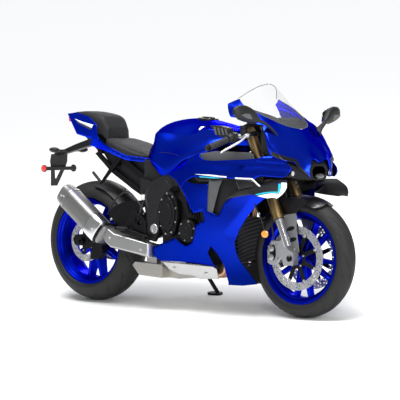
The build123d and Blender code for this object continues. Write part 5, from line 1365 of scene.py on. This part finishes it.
# Plates over the swingarm's brace, between the arm and the frame
BRACE = [(-505, 470), (-470, 512), (-405, 540), (-303, 552), (-222, 556), (-196, 500), (-200, 396), (-352, 404),
         (-464, 425)]
BRACE_WINDOW = [(-300, 500), (-250, 520), (-240, 470), (-290, 458)]
for side, label in SIDES:
    cut_plate(f"swingarm_brace_{label}", BRACE, [BRACE_WINDOW], 14,
              lambda x, z: (x, -134 if side < 0 else 150, z), BLACK_METAL, 6, 1.5)
BRACE_BOLTS = ((-254, 484, 6), (-274, 440, 6), (-480, 446, 7), (-340, 430, 5), (-222, 530, 5))
gathered("brace_bolts", [cap_bolt((x, side * (137 if side < 0 else 153), z), (0, side, 0), r)
                         for side in (-1, 1) for x, z, r in BRACE_BOLTS], BOLT)
BRAKE_LINE = [(-520, -128, 470), (-452, -140, 552), (-360, -150, 596), (-290, -158, 560), (-250, -160, 520)]
gathered("brake_line_rear", [pipe(BRAKE_LINE, 4.2, 12, 8)], HOSE)


# Engine side: stepped covers with bolts and ribs, the frame's plates and the swingarm pivot's cap
def stepped(outline, steps):
    """Plates stacked outwards. Each step: scale about the outline's middle, and y from and to."""
    mid_x = sum(x for x, z in outline) / len(outline)
    mid_z = sum(z for x, z in outline) / len(outline)
    return [plate([(mid_x + (x - mid_x) * size, mid_z + (z - mid_z) * size) for x, z in outline], start, end)
            for size, start, end in steps]


CLUTCH, CLUTCH_HALF, ROUND = (-52, 493), (66, 118), (82, 411)
CLUTCH_STEPS = ((0.94, -171, -178), (0.72, -178, -186), (0.44, -186, -191))
ROUND_STEPS = ((0.95, -177, -183), (0.66, -183, -190), (0.3, -190, -193))
LEFT_STEPS = ((0.95, 175, 181), (0.7, 181, 189), (0.34, 189, 193))
gathered("clutch_cover", stepped(ellipse(CLUTCH, CLUTCH_HALF), CLUTCH_STEPS), ENGINE, 3.5)
ribs = []
for k in range(9):
    a = radians(40 + 35 * k)
    corners = ((0.72, a - 0.06), (0.9, a - 0.05), (0.9, a + 0.05), (0.72, a + 0.06))
    ribs.append(plate([(CLUTCH[0] + CLUTCH_HALF[0] * r * cos(t), CLUTCH[1] + CLUTCH_HALF[1] * r * sin(t))
                       for r, t in corners], -177, -184))
gathered("clutch_cover_ribs", ribs, BLACK_METAL, 1)
gathered("round_cover", stepped(ellipse(ROUND, (60, 60)), ROUND_STEPS), ENGINE, 3)
gathered("left_cover_steps", stepped(ellipse(ROUND, (82, 82)), LEFT_STEPS), ENGINE, 3)
gathered("engine_cover_bolts", ring_of_bolts(CLUTCH, (57, 105), -178, 9, 4.6)
         + ring_of_bolts(ROUND, (50, 50), -183, 6, 4.4) + ring_of_bolts(ROUND, (70, 70), 181, 8, 4.6), BOLT)
case = [(-40, 600), (40, 612), (120, 566), (206, 508), (238, 470), (178, 372), (150, 330), (146, 470),
        (60, 470), (16, 560)]
gathered("engine_case_plates", stepped(case, ((0.98, -146, -156), (0.86, -156, -162))), ENGINE, 3)
gathered("engine_fins", [plate([(60 + 18 * k, 560 - 8 * k), (66 + 18 * k, 560 - 8 * k),
                                (84 + 18 * k, 500 - 10 * k), (78 + 18 * k, 500 - 10 * k)], -161, -168)
                         for k in range(5)], BLACK_METAL, 1)
FRAME_PLATE = [(-208, 541), (-188, 598), (-134, 660), (-64, 686), (-24, 643), (-104, 572), (-131, 508),
               (-138, 462), (-200, 460)]
for side, label in SIDES:
    steps = ((1.0, side * 167, side * 171), (0.84, side * 171, side * 174))
    gathered(f"frame_plate_{label}", stepped(FRAME_PLATE, steps), FRAME_GREY, 2.5)
    cap = turned([(1, 0), (24, 0), (25, 2), (25, 7), (22, 10), (14, 10), (12, 6), (1, 6)],
                 (-150, side * 168, 412), (0, side, 0), 36)
    # Painted shade: a near-black disc where the frame's hole lies in shade
    hole_disc = turned([(1, 0), (17, 0), (17.5, 2.8), (16, 4.4), (1, 4.4)], (-154, side * 171, 534), (0, side, 0),
                    32)
    gathered(f"pivot_cap_{label}", [cap], CAST, 0.6)
    gathered(f"frame_hole_shade_{label}", [hole_disc], SHADOW, 0.4)
HOSES = ((5.5, ((-232, -162, 556), (-244, -168, 520), (-262, -160, 480), (-300, -140, 430))),
         (7, ((-190, -150, 640), (-214, -164, 590), (-206, -168, 540), (-170, -160, 500))),
         (9, ((20, -165, 640), (60, -176, 600), (128, -172, 574), (190, -160, 560))))
gathered("engine_hoses", [pipe(route, radius, 14, 8) for radius, route in HOSES], HOSE)
POT_AT = (-232.3, -158, 556)
jar = turned([(1, 0), (15.6, 0), (17.6, 3), (17.6, 30), (16.6, 31)], POT_AT, (0, 0, 1), 32)
lid = turned([(1, 30), (18.2, 30), (18.6, 32), (18.4, 38.5), (15, 40), (1, 40)], POT_AT, (0, 0, 1), 32)
gathered("rear_fluid_pot", [jar], POT)
gathered("rear_fluid_pot_cap", [lid], BLACK)


# Silencer: the can, a bright end cap with painted shade in its outlet, the clamp, and the shields over its
# front and the link pipe
SIL_FRONT, SIL_ALONG, SIL_UP = Vector((-470, -187, 356)), Vector((-0.809, 0, 0.588)), Vector((0.588, 0, 0.809))


def can_ring(along, shrink, first=0, last=56):
    """A rounded section of the silencer: how far along it, and how much smaller than the can."""
    half_y, half_up = 52 - shrink, 62 - shrink
    points = []
    for k in range(first, last):
        a = 2 * pi * k / 56
        c, s = cos(a), sin(a)
        y = half_y * (abs(c) ** 0.62) * (1 if c > 0 else -1)
        up = half_up * (abs(s) ** 0.62) * (1 if s > 0 else -1)
        points.append(SIL_FRONT + SIL_ALONG * along + Vector((0, y, 0)) + SIL_UP * up)
    return points


def round_ring(along, radius):
    """A round section of the silencer, for its outlet."""
    return [SIL_FRONT + SIL_ALONG * along + Vector((0, y, 0)) + SIL_UP * up
            for y, up in ellipse((0, 0), (radius, radius), 56)]


CAN = ((4, 24), (12, 8), (26, 0.6), (60, 0.2), (180, 0.1), (318, 0.2), (321, 2.5))
END = ((320, 3), (321, -0.8), (328, -0.8), (330, 0.6), (372, 6.4), (382, 10), (385, 15))
CLAMP = ((22, 3), (22, -2.4), (24, -3), (33, -3), (35, -2.4), (35, 3))
FRONT_SHIELD = ((38, -2.6), (42, -4.4), (80, -5.0), (118, -4.4), (122, -2.6))
can = gathered("silencer_can", [[can_ring(a, b) for a, b in CAN]], TITAN)
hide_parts("silencer")
end = [can_ring(a, b) for a, b in END]
end += [round_ring(a, b) for a, b in ((386, 31), (386, 28.6), (346, 28), (345, 2))]
end_cap = gathered("silencer_end_cap", [end], SHIELD)
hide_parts("silencer")
# Painted shade: a near-black disc deep in the outlet's bore
gathered("silencer_outlet_shade", [[round_ring(352, 27), round_ring(350, 27), round_ring(350, 1)]], SHADOW)
gathered("silencer_clamp", [[can_ring(a, b) for a, b in CLAMP]], BLACK_METAL)
shield = [point for a, b in FRONT_SHIELD for point in can_ring(a, b, first=14, last=48)]
front_shield = made_piece("silencer_front_shield", shield, grid_faces(5, 34), BRIGHT)
thicken(front_shield, 1.6, 0.0)
link = [(-500, 366), (-470, 330), (-435, 302), (-162, 262), (-162, 334), (-408, 380), (-462, 412)]
middle = (-310, 336)
inset = [(x + (middle[0] - x) * 0.06, z + (middle[1] - z) * 0.16) for x, z in link]
link_rings = [[(x, y, z) for x, z in row] for row, y in ((link, -135), (link, -192), (inset, -206))]
link_shield = gathered("link_pipe_shield", [link_rings], SHIELD, 4)
stay = plate([(-162, 227.7), (-162, 330), (-230, 330), (-230, 229.8)], -101, -139)
tab = gathered("link_pipe_stay", [stay], SHIELD, 2)
BELLY = [(-98, 243), (246, 237), (263, 221), (250, 172), (123, 165), (81, 178), (-20, 183), (-66, 201)]
strips = side_panel("belly_strips", BELLY, side_y, SHIELD, step=12, wall=5, out=-0.2, edge=2)
for piece in (link_shield, tab, strips):
    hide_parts("heat_shields")
studs = [cap_bolt((x, -206, z), (0, -1, 0), 6.5) for x, z in ((-430, 352), (-212, 300))]
studs += [turned([(1, -1), (11, -1), (12, 1), (9, 2.4), (6, 0.6), (1, 0.6)],
                 (x, side * (side_y(x, z) - 0.4), z), (0, side, 0), 24) for side in (-1, 1)
          for x, z in ((-22, 222), (188, 206))]
studs.append(cap_bolt(SIL_FRONT + SIL_ALONG * 352 + Vector((0, -50, 0)), (0, -1, 0), 6))
studs.append(cap_bolt(SIL_FRONT + SIL_ALONG * 66 + Vector((0, -57.4, 0)), (0, -1, 0), 6.5))
gathered("shield_bolts", studs, BOLT)

# Undertail: the core under the seat, the arm to the plate holder, and the holder with its window
core_rows = ((-556, 84, 792, 832), (-640, 84, 806, 884), (-760, 62, 884, 930), (-864, 48, 948, 966))
core = [[(x, y, z) for y, z in ((-half, low), (half, low), (half, high), (-half, high))]
        for x, half, low, high in core_rows]
undertail = gathered("undertail_core", [core], BLACK, 4)
arm_line = [(-660, 842), (-720, 878), (-860, 836), (-985, 792), (-1022, 783), (-1022, 774), (-985, 772),
            (-860, 802), (-720, 838)]
arm = gathered("plate_arm", [plate(arm_line, -22, 22)], BLACK, 4)
holder_line = [(-62, 778), (62, 778), (66, 738), (54, 700), (24, 604), (-24, 604), (-54, 700), (-66, 738)]
window = [(-28, 700), (28, 700), (22, 686), (6, 644), (-6, 644), (-22, 686)]
holder = cut_plate("plate_holder", holder_line, [window], 10,
                   lambda y, z: (-1010 - max(0, 700 - z) * 0.3 + max(0, z - 700) * 0.12, y, z), BLACK, 6, 1.2)
bar = gathered("reflector_bar", [plate([(-1008, 690), (-984, 690), (-984, 710), (-1008, 710)], -112, 112)],
               BLACK, 3)
for piece in (undertail, arm, holder, bar):
    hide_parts("plate_bracket")

# Foot rests: plates with windows, ribbed pegs, pedal and lever
for side, label in SIDES:
    rest = [(-300, 500), (-230, 470), (-206, 440), (-206, 380), (-250, 360), (-350, 385), (-345, 430)]
    windows = [[(-288, 470), (-246, 452), (-240, 424), (-280, 430)],
               [(-322, 414), (-300, 420), (-296, 396), (-324, 396)]]
    bracket = cut_plate(f"rear_set_{label}", rest, windows, 9, lambda x, z: (x, side * 172, z), BLACK_METAL, 8,
                        1.5)
    grooved = [(9, 0)] + [(8.4 if k % 2 else 10, 2 + 3 * k) for k in range(24)] + [(9, 75), (6, 76)]
    grooved = turned(grooved, (-338, side * 176.3, 402), (-0.2, side, 0.1), 20)
    peg = gathered(f"peg_{label}", [grooved], BLACK_METAL)
    lever = [(-350, 386), (-190, 352), (-176, 370), (-190, 376), (-325, 406), (-350, 412)]
    toe = turned([(1, 0), (6, 1), (7, 4), (7, 26), (6, 29), (1, 30)], (-186, side * 187, 364), (0, side, 0), 20)
    pedal = gathered(f"foot_lever_{label}", [plate(lever, side * 186, side * 194), toe], BLACK_METAL, 1.5)
    stay_line = [(-440, 772), (-472, 782), (-590, 640), (-597, 628), (-580, 630)]
    stay = gathered(f"pillion_stay_{label}", [plate(stay_line, side * 100.3, side * 110.3)], BLACK_METAL, 2)
    folded = turned([(4, 0), (8, 2), (8, 60), (7, 68), (3, 70)], (-588, side * 110, 640),
                    (-0.5, side * 0.3, 0.7), 20)
    pillion = gathered(f"pillion_peg_{label}", [folded], GRIP)
    for piece in (bracket, peg, pedal, stay, pillion):
        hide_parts("foot_rests")


# Ground and light
def ground():
    """The studio's pale floor."""
    size = 70
    mesh = bpy.data.meshes.new("studio_floor")
    mesh.from_pydata([(-size, -size, 0), (size, -size, 0), (size, size, 0), (-size, size, 0)], [],
                     [(0, 1, 2, 3)])
    floor = bpy.data.objects.new("studio_floor", mesh)
    bpy.context.scene.collection.objects.link(floor)
    pale = Finish("pale_floor", base_color=(0.96, 0.96, 0.96), roughness=0.9)
    mesh.materials.append(pale.material)


def lamp(name, kind, energy, aim, size, at):
    """A sun with an angle in degrees, or a softbox with its two sides in metres."""
    light = bpy.data.lights.new(name, kind)
    light.energy = energy
    if kind == "SUN":
        light.angle = radians(size)
    else:
        light.shape = "RECTANGLE"
        light.size, light.size_y = size
    obj = bpy.data.objects.new(name, light)
    obj.location = at
    obj.rotation_euler = (Vector(aim) - Vector(at)).to_track_quat("-Z", "Y").to_euler()
    bpy.context.scene.collection.objects.link(obj)


ground()
bpy.context.scene.view_settings.view_transform = "Standard"
world = bpy.data.worlds.new("studio")
bpy.context.scene.world = world
world.use_nodes = True
world.node_tree.nodes["Background"].inputs[0].default_value = (0.95, 0.97, 1.0, 1)
world.node_tree.nodes["Background"].inputs[1].default_value = 0.3
lamp("overhead_sun", "SUN", 2.3, (0.15, 0.1, 0), 50, (0, 0, 5))
lamp("top_softbox", "AREA", 90, (0, 0, 0.6), (3.2, 0.8), (0.2, -0.9, 3.4))
lamp("side_softbox", "AREA", 80, (0.2, 0, 0.6), (1.2, 1.8), (4.2, -3.4, 2.4))
lamp("front_softbox", "AREA", 60, (0.2, 0, 0.7), (0.9, 2.2), (5.0, -1.2, 1.6))
lamp("left_softbox", "AREA", 38, (0, 0, 0.6), (1.8, 1.2), (-2.5, 4.5, 2.4))
